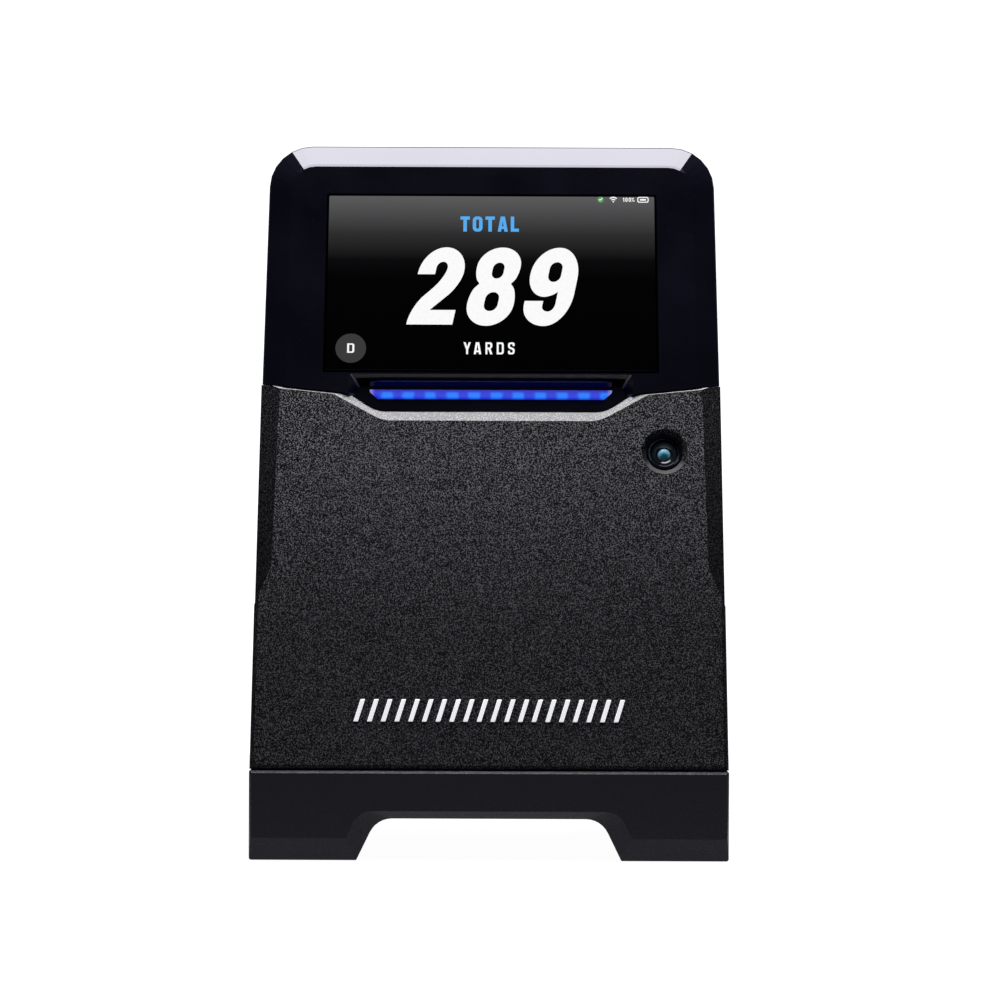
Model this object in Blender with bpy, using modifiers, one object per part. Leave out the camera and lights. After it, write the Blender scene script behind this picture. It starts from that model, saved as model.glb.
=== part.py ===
"""Portable golf launch monitor: a wedge-shaped radar and camera unit on a base with a through arch.

Units are metres and +Z is up. The display faces -Y, and the origin is the middle of the footprint, on the
surface that the unit stands on. Every object is one separate piece of the real assembly.
"""

import math

import bmesh
import bpy
from mathutils import Matrix, Vector

# ---- Driving dimensions ----------------------------------------------------------------------------------
HEIGHT = 0.254
FRONT_Y = -0.042
REAR_Y = 0.042
HALF_WIDTH_LOW = 0.0824
HALF_WIDTH_HIGH = 0.0812
LOW_Z = 0.028
HIGH_Z = 0.2415
TOP_CORNER = 0.0155
GAP = 0.0003

# Front faces: each is a plane that leans back, through one point, with the tangent of its lean.
BASE_FACE = (FRONT_Y, 0.0077, 0.0658)
BODY_FACE = (-0.0402, 0.0318, 0.180)
HOOD_FACE = (-0.0148, 0.168, 0.2583)

# Shells
HOOD_WALL = 0.0024
COVER_WALL = 0.0032
REAR_WALL = 0.0024
PARTING_Y = 0.022
GASKET_SPACE = 0.0015
COVER_LOW_Z = 0.0316
HOOD_EDGE = ((0.0087, 0.0), (0.0078, 0.0004), (0.0006, 0.0051), (0.0, 0.0072))
COVER_EDGE = ((0.0016, 0.0), (0.0005, 0.0005), (0.0, 0.0016))
COVER_ROOM = ((0.0088, COVER_WALL), (COVER_WALL, 0.0083))
REAR_EDGE = ((0.0, 0.0062), (0.0004, 0.0046), (0.0044, 0.0005), (0.0056, 0.0))

# Seam between the hood and the front cover, as (x, z, corner radius) on the right half.
SEAM = ((0.0405, 0.1555, 0.012), (0.0503, 0.1618, 0.0075), (0.095, 0.1665, 0.0))
SEAM_BEVEL = ((0.0383, 0.1524, 0.013), (0.0556, 0.1618, 0.004), (0.095, 0.1657, 0.0))
SEAM_BEVEL_DEPTH = 0.0020

# Flat cut on the cover's upright front corners: (x, z) of its edge on the face at its low and high ends,
# its depth per width, and how steeply its low end drops.
CORNER_CUT = ((0.0762, 0.1010), (0.0744, 0.1750))
CORNER_SLOPE = 0.70
CORNER_END_DROP = 2.3

# Base
BASE_TOP_Z = 0.0312
BASE_LOW_Z = 0.0005
BASE_BEVEL = 0.003
FOOT_X = 0.064
FOOT_FLOOR_Z = 0.0045
ARCH_ROOF_Z = 0.0186

# Display, light bar and camera, as seen from the front
WINDOW_HALF = 0.0591
WINDOW_Z = (0.1705, 0.2346)
POCKET_TOP_Z = 0.1689
POCKET_HALF = 0.0503
POCKET_DEPTH = 0.005
LIGHT_TOP = (0.0431, 0.1643)
LIGHT_LOW = (0.0393, 0.1616)
CAMERA_X = 0.0613
CAMERA_Z = 0.1416
BADGE_HALF = 0.0472
BADGE_Z = (0.0476, 0.0559)

# Inside
CHASSIS_Y = 0.0185
CHASSIS_SHEET = 0.0016
BOARD_Y = 0.0240
BOARD_SHEET = 0.0016
BOARD_SCREW_X = 0.056
BOARD_SCREW_Z = (0.124, 0.226)
BASE_SCREW_Y = 0.011
CASE_SCREWS = ((0.070, 0.052), (0.066, 0.234))
RADAR_DEPTH = 0.008

# Tilt leg on the rear: it folds out and down about a steel pin.
LEG_AXIS_Y = 0.0385
LEG_AXIS_Z = 0.0440
LEG_HALF = 0.0250
LEG_END_Z = 0.0990
LEG_BARREL = 0.0029
LEG_PIN_RADIUS = 0.0015
LEG_POCKET_HALF = 0.0262
LEG_POCKET_Z = (0.0365, 0.1070)
LEG_POCKET_FLOOR_Y = 0.0350
NOTCH_HALF = 0.009
NOTCH_TOP_Z = 0.1155

# Port recess and its door
PORT_X = -0.050
PORT_HALF = 0.0165
PORT_Z = (0.1260, 0.1435)
PORT_FLOOR_Y = 0.0340
DOOR_AXIS_Y = 0.0395
DOOR_AXIS_Z = 0.1300
DOOR_BARREL = 0.0020
DOOR_PIN_RADIUS = 0.0008
USB_X = -0.050
USB_Z = 0.1372

# Power button
BUTTON_X = 0.050
BUTTON_Z = 0.135
BUTTON_RADIUS = 0.0057

PARTS = "launch_monitor"
CUTTERS = "launch_monitor_cutters"
ARC_STEPS = 6


# ---- Scene and materials ---------------------------------------------------------------------------------
def clear_scene():
    for old in list(bpy.data.objects):
        bpy.data.objects.remove(old, do_unlink=True)
    for name in (PARTS, CUTTERS):
        collection = bpy.data.collections.new(name)
        bpy.context.scene.collection.children.link(collection)
    bpy.data.collections[CUTTERS].hide_render = True


def material(name, colour, roughness, metallic=0.0):
    made = bpy.data.materials.new(name)
    made.use_nodes = True
    shader = made.node_tree.nodes["Principled BSDF"]
    shader.inputs["Base Color"].default_value = (*colour, 1.0)
    shader.inputs["Roughness"].default_value = roughness
    shader.inputs["Metallic"].default_value = metallic
    made.diffuse_color = (*colour, 1.0)
    return made


def make_materials():
    return {
        "gloss": material("gloss_black", (0.006, 0.006, 0.009), 0.08),
        "grain": material("grained_black", (0.022, 0.022, 0.025), 0.55),
        "plain": material("satin_black", (0.014, 0.014, 0.016), 0.45),
        "rubber": material("black_rubber", (0.016, 0.016, 0.017), 0.85),
        "glass": material("dark_glass", (0.004, 0.004, 0.006), 0.04),
        "lens": material("coated_lens", (0.02, 0.10, 0.14), 0.03),
        "diffuser": material("blue_diffuser", (0.05, 0.12, 1.0), 0.35),
        "chrome": material("bright_chrome", (0.80, 0.80, 0.82), 0.12, 1.0),
        "steel": material("plain_steel", (0.50, 0.50, 0.51), 0.30, 1.0),
        "aluminium": material("aluminium", (0.66, 0.67, 0.68), 0.38, 1.0),
        "board": material("green_board", (0.015, 0.13, 0.06), 0.45),
        "cell": material("battery_wrap", (0.03, 0.07, 0.22), 0.40),
        "amber": material("amber_flex", (0.42, 0.17, 0.03), 0.40),
    }


# ---- Shape helpers ---------------------------------------------------------------------------------------
def keep(name, mesh, kind, place=None):
    """A finished piece in the parts collection."""
    piece = bpy.data.objects.new(name, mesh)
    piece.matrix_world = place or Matrix()
    mesh.materials.append(MATERIALS[kind])
    bpy.data.collections[PARTS].objects.link(piece)
    return piece


def tool(name, mesh, place=None):
    """A hidden helper for a Boolean modifier."""
    helper = bpy.data.objects.new("tool_" + name, mesh)
    helper.matrix_world = place or Matrix()
    helper.hide_render = True
    helper.display_type = "WIRE"
    bpy.data.collections[CUTTERS].objects.link(helper)
    return helper


def boolean(piece, helper, operation="DIFFERENCE"):
    modifier = piece.modifiers.new(helper.name, "BOOLEAN")
    modifier.operation = operation
    modifier.solver = "EXACT"
    modifier.object = helper


def finish_mesh(name, shape, merge=0.0):
    if merge:
        bmesh.ops.remove_doubles(shape, verts=shape.verts, dist=merge)
    bmesh.ops.recalc_face_normals(shape, faces=shape.faces)
    mesh = bpy.data.meshes.new(name)
    shape.to_mesh(mesh)
    shape.free()
    return mesh


def block(name, low, high):
    """A box between two corners."""
    shape = bmesh.new()
    bmesh.ops.create_cube(shape, size=1.0)
    size = Vector(high) - Vector(low)
    middle = (Vector(high) + Vector(low)) / 2
    bmesh.ops.transform(shape, matrix=Matrix.LocRotScale(middle, None, size), verts=shape.verts)
    return finish_mesh(name, shape)


def blocks(name, corners):
    """Boxes that stay apart, in one mesh."""
    shape = bmesh.new()
    for low, high in corners:
        made = bmesh.ops.create_cube(shape, size=1.0)["verts"]
        size = Vector(high) - Vector(low)
        middle = (Vector(high) + Vector(low)) / 2
        bmesh.ops.transform(shape, matrix=Matrix.LocRotScale(middle, None, size), verts=made)
    return finish_mesh(name, shape)


def rod(name, radius, start, end, segments=20, end_radius=None):
    """A round bar, or a cone, between two points."""
    axis = Vector(end) - Vector(start)
    shape = bmesh.new()
    bmesh.ops.create_cone(
        shape,
        cap_ends=True,
        segments=segments,
        radius1=radius,
        radius2=radius if end_radius is None else end_radius,
        depth=axis.length,
    )
    turn = Vector((0, 0, 1)).rotation_difference(axis).to_matrix().to_4x4()
    middle = Matrix.Translation((Vector(end) + Vector(start)) / 2)
    bmesh.ops.transform(shape, matrix=middle @ turn, verts=shape.verts)
    mesh = finish_mesh(name, shape)
    mesh.shade_smooth()
    mesh.set_sharp_from_angle(angle=math.radians(40))
    return mesh


def rounded(corners, steps=ARC_STEPS):
    """An outline through (x, z, radius) corners, each radius an arc of equal steps."""
    points = []
    for index, (x, z, radius) in enumerate(corners):
        here = Vector((x, z))
        if not radius:
            points.append(here)
            continue
        back = (Vector(corners[index - 1][:2]) - here).normalized()
        ahead = (Vector(corners[(index + 1) % len(corners)][:2]) - here).normalized()
        half = back.angle(ahead) / 2
        centre = here + (back + ahead).normalized() * (radius / math.sin(half))
        start = here + back * (radius / math.tan(half)) - centre
        end = here + ahead * (radius / math.tan(half)) - centre
        turn = math.atan2(start.x * end.y - start.y * end.x, start.dot(end))
        for step in range(steps + 1):
            angle = turn * step / steps
            cosine, sine = math.cos(angle), math.sin(angle)
            spoke = Vector((start.x * cosine - start.y * sine, start.x * sine + start.y * cosine))
            points.append(centre + spoke)
    return points


def rounded_box(half, low_z, high_z, radius, x=0.0, steps=ARC_STEPS):
    corners = (
        (x - half, low_z, radius),
        (x + half, low_z, radius),
        (x + half, high_z, radius),
        (x - half, high_z, radius),
    )
    return rounded(corners, steps)


def circle(radius, x, z, segments=24):
    spokes = [2 * math.pi * index / segments for index in range(segments)]
    return [Vector((x + radius * math.cos(a), z + radius * math.sin(a))) for a in spokes]


def mesh_from_curve(name, curve):
    """The evaluated mesh of a curve, with its caps welded on."""
    holder = bpy.data.objects.new(name, curve)
    bpy.context.scene.collection.objects.link(holder)
    graph = bpy.context.evaluated_depsgraph_get()
    mesh = bpy.data.meshes.new_from_object(holder.evaluated_get(graph))
    bpy.data.objects.remove(holder, do_unlink=True)
    shape = bmesh.new()
    shape.from_mesh(mesh)
    bpy.data.meshes.remove(mesh)
    return finish_mesh(name, shape, merge=1e-6)


def prism(name, outline, near, far, holes=()):
    """Flat outlines in the XZ plane, filled and extruded along Y from near to far."""
    curve = bpy.data.curves.new(name, "CURVE")
    curve.dimensions = "2D"
    curve.fill_mode = "BOTH"
    curve.extrude = (far - near) / 2
    for loop in (outline, *holes):
        spline = curve.splines.new("POLY")
        spline.points.add(len(loop) - 1)
        for point, (x, z) in zip(spline.points, loop):
            point.co = (x, z, 0, 1)
        spline.use_cyclic_u = True
    mesh = mesh_from_curve(name, curve)
    upright = Matrix.Translation((0, (near + far) / 2, 0)) @ Matrix.Rotation(math.pi / 2, 4, "X")
    mesh.transform(upright)
    return mesh


def side_prism(name, outline, near, far, holes=()):
    """An outline in the YZ plane, extruded along X from near to far."""
    mesh = prism(name, outline, -far, -near, holes)
    mesh.transform(Matrix.Rotation(math.pi / 2, 4, "Z"))
    return mesh


def flat_prism(name, outline, low, high, holes=()):
    """An outline in the XY plane, extruded along Z from low to high."""
    mesh = prism(name, outline, -high, -low, holes)
    mesh.transform(Matrix.Rotation(-math.pi / 2, 4, "X"))
    return mesh


def loft(name, rings, first_cap=True, last_cap=True):
    """Rings of equal count joined in order, front ring first; each ring runs anticlockwise seen from -Y."""
    shape = bmesh.new()
    loops = [[shape.verts.new(point) for point in ring] for ring in rings]
    count = len(loops[0])
    for front, back in zip(loops, loops[1:]):
        for index in range(count):
            after = (index + 1) % count
            shape.faces.new((front[index], back[index], back[after], front[after]))
    if first_cap:
        shape.faces.new(loops[0])
    if last_cap:
        shape.faces.new(reversed(loops[-1]))
    mesh = bpy.data.meshes.new(name)
    shape.to_mesh(mesh)
    shape.free()
    return mesh


def turned(name, profile, kind, place, steps=32):
    """A closed (radius, height) profile spun about local Z; it runs down its outer side."""
    shape = bmesh.new()
    verts = [shape.verts.new((radius, 0, height)) for radius, height in profile]
    for index, vert in enumerate(verts):
        shape.edges.new((vert, verts[(index + 1) % len(verts)]))
    mesh = bpy.data.meshes.new(name)
    shape.to_mesh(mesh)
    shape.free()
    piece = keep(name, mesh, kind, place)
    screw = piece.modifiers.new("turn", "SCREW")
    screw.axis = "Z"
    screw.steps = steps
    screw.render_steps = steps
    screw.use_merge_vertices = True
    screw.merge_threshold = 0.00001
    screw.use_smooth_shade = True
    return piece


def smooth_route(points, per_span=6):
    """A Catmull-Rom curve through the points."""
    ends = [2 * Vector(points[0]) - Vector(points[1]), 2 * Vector(points[-1]) - Vector(points[-2])]
    nodes = [ends[0], *map(Vector, points), ends[1]]
    route = []
    for a, b, c, d in zip(nodes, nodes[1:], nodes[2:], nodes[3:]):
        for step in range(per_span):
            t = step / per_span
            curve = 2 * b + (c - a) * t + (2 * a - 5 * b + 4 * c - d) * t**2
            route.append((curve + (3 * b - a - 3 * c + d) * t**3) / 2)
    return [*route, nodes[-2]]


def tube(name, route, radius, kind):
    """A round cable along a smooth route."""
    curve = bpy.data.curves.new(name, "CURVE")
    curve.dimensions = "3D"
    curve.bevel_depth = radius
    curve.bevel_resolution = 2
    curve.use_fill_caps = True
    spline = curve.splines.new("POLY")
    points = smooth_route(route)
    spline.points.add(len(points) - 1)
    for point, place in zip(spline.points, points):
        point.co = (*place, 1)
    return keep(name, mesh_from_curve(name, curve), kind)


def lean(face):
    """The frame of a leaning front face: X across, Z up along the face, Y into the object."""
    y, z, slope = face
    return Matrix.Translation((0, y, z)) @ Matrix.Rotation(-math.atan(slope), 4, "X")


def up_face(face, z):
    """The distance along a leaning face that reaches height z."""
    return (z - face[1]) * math.sqrt(1 + face[2] ** 2)


def depth_at(face, z):
    return face[0] + (z - face[1]) * face[2]


def move_origin(piece, point):
    """Puts the origin of a piece on its joint axis, with the shape left where it is."""
    piece.data.transform(Matrix.Translation(-Vector(point)))
    piece.matrix_world = Matrix.Translation(point)


# ---- Housing ---------------------------------------------------------------------------------------------
def half_width(z):
    share = (z - LOW_Z) / (HIGH_Z - LOW_Z)
    return HALF_WIDTH_LOW + (HALF_WIDTH_HIGH - HALF_WIDTH_LOW) * min(max(share, 0.0), 1.0)


def silhouette(low_z, inset):
    """The housing's front view, drawn in by inset."""
    radius = TOP_CORNER - 0.8 * inset
    low = half_width(low_z) - inset
    high = half_width(HEIGHT) - inset
    corners = (
        (-low, low_z + inset, 0.0),
        (low, low_z + inset, 0.0),
        (high, HEIGHT - inset, radius),
        (-high, HEIGHT - inset, radius),
    )
    return rounded(corners)


def face_ring(face, low_z, inset, setback):
    return [(x, depth_at(face, z) + setback, z) for x, z in silhouette(low_z, inset)]


def flat_ring(low_z, inset, y):
    return [(x, y, z) for x, z in silhouette(low_z, inset)]


def front_rings(face, edge, low_z, back_y):
    """A leaning face, its edge band and straight sides back to back_y."""
    rings = [face_ring(face, low_z, inset, setback) for inset, setback in edge]
    return [*rings, flat_ring(low_z, edge[-1][0], back_y)]


def thicken(shell, wall):
    solidify = shell.modifiers.new("wall", "SOLIDIFY")
    solidify.thickness = wall
    solidify.offset = -1
    solidify.use_even_offset = True


def seam_outline(corners, shift, roof):
    """A closed region above a seam that is mirrored left to right, moved up by shift."""
    right = [(x, z + shift, radius) for x, z, radius in corners]
    left = [(-x, z, radius) for x, z, radius in reversed(right)]
    return rounded([*left, *right, (0.095, roof, 0.0), (-0.095, roof, 0.0)])


def make_hood():
    surface = loft("display_hood", front_rings(HOOD_FACE, HOOD_EDGE, 0.138, PARTING_Y), last_cap=False)
    hood = keep("display_hood", surface, "gloss")
    thicken(hood, HOOD_WALL)
    frame = lean(HOOD_FACE)
    block_top = up_face(HOOD_FACE, WINDOW_Z[0] - 0.0002)
    low = up_face(HOOD_FACE, 0.148)
    back = POCKET_DEPTH + 0.002
    tray_half = POCKET_HALF + 0.0030
    tray = block("pocket_tray", (-tray_half, 0.0012, low), (tray_half, back, block_top))
    boolean(hood, tool("pocket_tray", tray, frame), "UNION")
    rings = []
    for depth, draw_in in ((-0.004, -0.0025), (0.0, 0.0), (POCKET_DEPTH, 0.0030)):
        half = POCKET_HALF - draw_in
        top = up_face(HOOD_FACE, POCKET_TOP_Z - draw_in)
        outline = rounded([(-half, low, 0.0), (half, low, 0.0), (half, top, 0.0012), (-half, top, 0.0012)])
        rings.append([(x, depth, v) for x, v in outline])
    boolean(hood, tool("pocket", loft("pocket", rings), frame))
    above = prism("above_seam", seam_outline(SEAM, GAP / 2, 0.30), -0.08, 0.08)
    boolean(hood, tool("above_seam", above), "INTERSECT")
    low_v, high_v = (up_face(HOOD_FACE, z) for z in WINDOW_Z)
    opening = rounded_box(WINDOW_HALF, low_v, high_v, 0.0006)
    boolean(hood, tool("window_opening", prism("window_opening", opening, -0.01, 0.02), frame))
    slot = prism("light_slot", light_outline(GAP), 0.0, 0.02)
    boolean(hood, tool("light_slot", slot, frame))


def light_outline(grow):
    """The light bar's inverted trapezoid, in the hood face's frame, drawn out by grow."""
    (top_x, top_z), (low_x, low_z) = LIGHT_TOP, LIGHT_LOW
    top, low = up_face(HOOD_FACE, top_z) + grow, up_face(HOOD_FACE, low_z) - grow
    spread = 3 * grow
    corners = [(-low_x, low), (low_x, low), (top_x, top), (-top_x, top)]
    return [Vector((x + math.copysign(spread, x), z)) for x, z in corners]


def corner_wedge(side):
    """The wedge that takes off the cover's upright front corner; its lower end slants outwards and down."""
    width, inner = 0.0115, 0.004
    rings = []
    for x, z in CORNER_CUT:
        y = depth_at(BODY_FACE, z)
        near = (side * (x - inner), y - inner * CORNER_SLOPE, z)
        far = (side * (x + width), y + width * CORNER_SLOPE, z)
        outside = (side * (x + width), y - inner * CORNER_SLOPE, z)
        rings.append([near, far, outside])
    low_x, low_z = CORNER_CUT[0]
    high_x, high_z = CORNER_CUT[1]
    reach = high_z - low_z + CORNER_END_DROP * (high_x - low_x)
    slanted = []
    for low, high in zip(rings[0], rings[1]):
        share = -CORNER_END_DROP * (abs(low[0]) - low_x) / reach
        slanted.append(tuple(Vector(low).lerp(Vector(high), share)))
    shape = bmesh.new()
    shape.from_mesh(loft("corner_wedge", [slanted, rings[1]]))
    return finish_mesh("corner_wedge", shape)


def make_front_cover():
    solid = loft("front_cover", front_rings(BODY_FACE, COVER_EDGE, COVER_LOW_Z, PARTING_Y))
    cover = keep("front_cover", solid, "grain")
    room = loft("cover_room", front_rings(BODY_FACE, COVER_ROOM, COVER_LOW_Z, PARTING_Y + 0.01))
    boolean(cover, tool("cover_room", room))
    floor = block("cover_floor", (-0.0765, -0.0310, 0.020), (0.0765, 0.030, 0.045))
    boolean(cover, tool("cover_floor", floor))
    rings = []
    for back, corners in ((-0.004, SEAM_BEVEL), (0.0, SEAM_BEVEL), (SEAM_BEVEL_DEPTH, SEAM), (0.080, SEAM)):
        outline = seam_outline(corners, -GAP / 2, 0.30)
        rings.append([(x, depth_at(BODY_FACE, z) + back, z) for x, z in outline])
    boolean(cover, tool("seam_cut", loft("seam_cut", rings)))
    for side in (-1, 1):
        boolean(cover, tool(f"corner_wedge_{side}", corner_wedge(side)))
    frame = lean(BODY_FACE)
    camera_v = up_face(BODY_FACE, CAMERA_Z)
    bore = rod("camera_bore", 0.0064, (CAMERA_X, -0.01, camera_v), (CAMERA_X, 0.01, camera_v), 40)
    boolean(cover, tool("camera_bore", bore, frame))
    cone = rod(
        "camera_cone", 0.0090, (CAMERA_X, -0.001, camera_v), (CAMERA_X, 0.0020, camera_v), 40, 0.0062
    )
    boolean(cover, tool("camera_cone", cone, frame))
    low_v, high_v = (up_face(BODY_FACE, z) for z in BADGE_Z)
    edge = 0.0014
    low_corner = (-BADGE_HALF - edge, -0.01, low_v - edge)
    high_corner = (BADGE_HALF + edge, 0.0011, high_v + edge)
    seat = block("badge_seat", low_corner, high_corner)
    boolean(cover, tool("badge_seat", seat, frame))


def make_rear_cover():
    start = PARTING_Y + GASKET_SPACE
    rings = [flat_ring(COVER_LOW_Z, 0.0, start)]
    rings += [flat_ring(COVER_LOW_Z, inset, REAR_Y - setback) for inset, setback in REAR_EDGE]
    cover = keep("rear_cover", loft("rear_cover", rings, first_cap=False), "grain")
    thicken(cover, REAR_WALL)
    leg_tray = block("leg_tray", (-0.0312, 0.0328, 0.0335), (0.0312, 0.0412, 0.1095))
    boolean(cover, tool("leg_tray", leg_tray), "UNION")
    notch_tray = block("notch_tray", (-0.0115, 0.0340, 0.1080), (0.0115, 0.0411, 0.1180))
    boolean(cover, tool("notch_tray", notch_tray), "UNION")
    port_low = (PORT_X - PORT_HALF - 0.0042, 0.0320, PORT_Z[0] - 0.0022)
    port_high = (PORT_X + PORT_HALF + 0.0042, 0.0410, PORT_Z[1] + 0.0022)
    boolean(cover, tool("port_tray", block("port_tray", port_low, port_high)), "UNION")
    for index, (x, z) in enumerate((side * x, z) for x, z in CASE_SCREWS for side in (-1, 1)):
        boss = rod("boss", 0.0042, (x, 0.0260, z), (x, 0.0409, z), 20)
        boolean(cover, tool(f"boss_{index}", boss), "UNION")
    floor = block("rear_floor", (-0.0765, 0.0200, 0.020), (0.0765, 0.0325, 0.0350))
    boolean(cover, tool("rear_floor", floor))
    leg_pocket = rounded_box(LEG_POCKET_HALF, *LEG_POCKET_Z, 0.0015, steps=3)
    boolean(cover, tool("leg_pocket", prism("leg_pocket", leg_pocket, LEG_POCKET_FLOOR_Y, 0.05)))
    notch = rounded_box(NOTCH_HALF, 0.1040, NOTCH_TOP_Z, 0.003, steps=4)
    boolean(cover, tool("finger_notch", prism("finger_notch", notch, 0.0365, 0.05)))
    for x in (-1, 1):
        ends = [(x * reach, LEG_AXIS_Y, LEG_AXIS_Z) for reach in (0.024, 0.0292)]
        bore = rod("leg_pin_bore", LEG_PIN_RADIUS + GAP, *ends, 16)
        boolean(cover, tool(f"leg_pin_bore_{x}", bore))
    port_pocket = rounded_box(PORT_HALF, *PORT_Z, 0.0012, PORT_X, steps=3)
    boolean(cover, tool("port_pocket", prism("port_pocket", port_pocket, PORT_FLOOR_Y, 0.05)))
    ends = [(PORT_X + reach, DOOR_AXIS_Y, DOOR_AXIS_Z) for reach in (-0.0191, 0.0191)]
    bore = rod("door_pin_bore", DOOR_PIN_RADIUS + GAP, *ends, 12)
    boolean(cover, tool("door_pin_bore", bore))
    slot = rounded_box(0.0045 + 0.0006, USB_Z - 0.0022, USB_Z + 0.0022, 0.0020, USB_X, steps=4)
    boolean(cover, tool("usb_slot", prism("usb_slot", slot, 0.030, 0.036)))
    ends = [(BUTTON_X, 0.0410, BUTTON_Z), (BUTTON_X, 0.0440, BUTTON_Z)]
    boolean(cover, tool("button_dish", rod("button_dish", 0.0085, *ends, 32, 0.0115)))
    ends = [(BUTTON_X, 0.0300, BUTTON_Z), (BUTTON_X, 0.0450, BUTTON_Z)]
    boolean(cover, tool("button_bore", rod("button_bore", BUTTON_RADIUS + GAP, *ends, 32)))
    boolean(cover, tool("vents", vent_slots()))
    for index, (x, z) in enumerate((side * x, z) for x, z in CASE_SCREWS for side in (-1, 1)):
        bore = rod("case_bore", 0.0018, (x, 0.020, z), (x, 0.045, z), 16)
        boolean(cover, tool(f"case_bore_{index}", bore))
        head = rod("case_head", 0.0032, (x, 0.0390, z), (x, 0.045, z), 20)
        boolean(cover, tool(f"case_head_{index}", head))


def vent_slots():
    rows, pitch, half_slot = 7, 0.0055, 0.0011
    corners = []
    for row in range(rows):
        z = 0.1880 + row * pitch
        corners.append(((-0.030, 0.035, z - half_slot), (-0.0015, 0.045, z + half_slot)))
        corners.append(((0.0015, 0.035, z - half_slot), (0.030, 0.045, z + half_slot)))
    return blocks("vents", corners)


def make_case_gasket():
    outer = silhouette(COVER_LOW_Z, 0.0007)
    inner = silhouette(COVER_LOW_Z, 0.0022)
    near = PARTING_Y + GAP
    far = PARTING_Y + GASKET_SPACE - GAP
    keep("case_gasket", prism("case_gasket", outer, near, far, [inner]), "rubber")


# ---- Base ------------------------------------------------------------------------------------------------
def base_outline(half, foot_inner, low_z, arch_half, arch_z, arch_radius, top_z):
    corners = (
        (-half, low_z, 0.0008),
        (-foot_inner, low_z, 0.0005),
        (-arch_half, arch_z, arch_radius),
        (arch_half, arch_z, arch_radius),
        (foot_inner, low_z, 0.0005),
        (half, low_z, 0.0008),
        (half, top_z, 0.0005),
        (-half, top_z, 0.0005),
    )
    return rounded(corners)


def make_base():
    face = base_outline(0.0817, 0.0490, 0.0084, 0.0447, 0.0176, 0.0075, BASE_TOP_Z - 0.0008)
    full = base_outline(HALF_WIDTH_LOW, 0.0455, BASE_LOW_Z, 0.0386, 0.0147, 0.0085, BASE_TOP_Z)
    rings = [
        [(x, depth_at(BASE_FACE, z), z) for x, z in face],
        [(x, depth_at(BASE_FACE, z) + foot_setback(z), z) for x, z in full],
        [(x, REAR_Y - foot_setback(z), z) for x, z in full],
        [(x, REAR_Y, z) for x, z in face],
    ]
    base = keep("base_frame", loft("base_frame", rings), "plain")
    hollow = 0.0785
    wide = block("arch_hollow", (-hollow, -0.0365, ARCH_ROOF_Z), (hollow, 0.0385, 0.05))
    boolean(base, tool("arch_hollow", wide))
    for side in (-1, 1):
        edges = sorted((side * 0.0515, side * hollow))
        deep = block("foot_hollow", (edges[0], -0.0350, FOOT_FLOOR_Z), (edges[1], 0.0370, 0.03))
        boolean(base, tool(f"foot_hollow_{side}", deep))
        for end in (-1, 1):
            y = end * 0.0275
            seat = rounded_box(0.0133, y - 0.0078, y + 0.0078, 0.002, side * FOOT_X, steps=3)
            seat_mesh = flat_prism("pad_seat", seat, -0.01, BASE_LOW_Z + 0.0020)
            boolean(base, tool(f"pad_seat_{side}_{end}", seat_mesh))
            y = end * BASE_SCREW_Y
            bore = rod("base_bore", 0.0018, (side * FOOT_X, y, -0.01), (side * FOOT_X, y, 0.01), 16)
            boolean(base, tool(f"base_bore_{side}_{end}", bore))
            sink = rod("base_sink", 0.0032, (side * FOOT_X, y, -0.01), (side * FOOT_X, y, 0.0026), 20)
            boolean(base, tool(f"base_sink_{side}_{end}", sink))


def foot_setback(z):
    """How far the silhouette lies behind the face: the full bevel low down, a thin chamfer at the top."""
    return BASE_BEVEL if z < 0.02 else 0.0008


def make_foot_pads():
    for side, side_name in ((-1, "left"), (1, "right")):
        for end, end_name in ((-1, "front"), (1, "rear")):
            y = end * 0.0275
            outline = rounded_box(0.0130, y - 0.0075, y + 0.0075, 0.002, side * FOOT_X, steps=3)
            name = f"foot_pad_{end_name}_{side_name}"
            keep(name, flat_prism(name, outline, 0.0, BASE_LOW_Z + 0.0017), "rubber")


# ---- Display and light bar -------------------------------------------------------------------------------
def make_display():
    frame = lean(HOOD_FACE)
    low, high = (up_face(HOOD_FACE, z) for z in WINDOW_Z)
    glass = rounded_box(WINDOW_HALF - GAP, low + GAP, high - GAP, 0.0004)
    keep("display_window", prism("display_window", glass, 0.0002, 0.0024), "glass", frame)
    outer = rounded_box(0.0635, low, high + 0.0032, 0.0010)
    inner = rounded_box(0.0580, low + 0.0013, high - 0.0010, 0.0010)
    keep("display_gasket", prism("display_gasket", outer, 0.0027, 0.0037, [inner]), "rubber", frame)
    panel = rounded_box(0.0630, low + 0.0002, high + 0.0028, 0.0010)
    keep("display_panel", prism("display_panel", panel, 0.0040, 0.0075), "glass", frame)
    route = ((-0.0022, 0.1850), (0.0040, 0.1835), (0.0235, 0.1835))
    sheet = 0.0003
    top = [Vector((y, z + sheet)) for y, z in reversed(route)]
    strip = side_prism("display_ribbon", [Vector(point) for point in route] + top, -0.007, 0.007)
    keep("display_ribbon", strip, "amber")


def make_light_bar():
    frame = lean(HOOD_FACE)
    bar = prism("light_bar", light_outline(0.0), POCKET_DEPTH - 0.0014, 0.0086)
    keep("light_bar", bar, "diffuser", frame)
    low, high = up_face(HOOD_FACE, 0.1578), up_face(HOOD_FACE, 0.1658)
    board = rounded_box(0.046, low, high, 0.0010, steps=2)
    keep("light_bar_board", prism("light_bar_board", board, 0.0089, 0.0101), "board", frame)
    route = ((-0.030, -0.0060, 0.1590), (-0.030, 0.0080, 0.1525), (-0.030, 0.0237, 0.1520))
    tube("light_bar_cable", route, 0.0010, "rubber")


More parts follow.
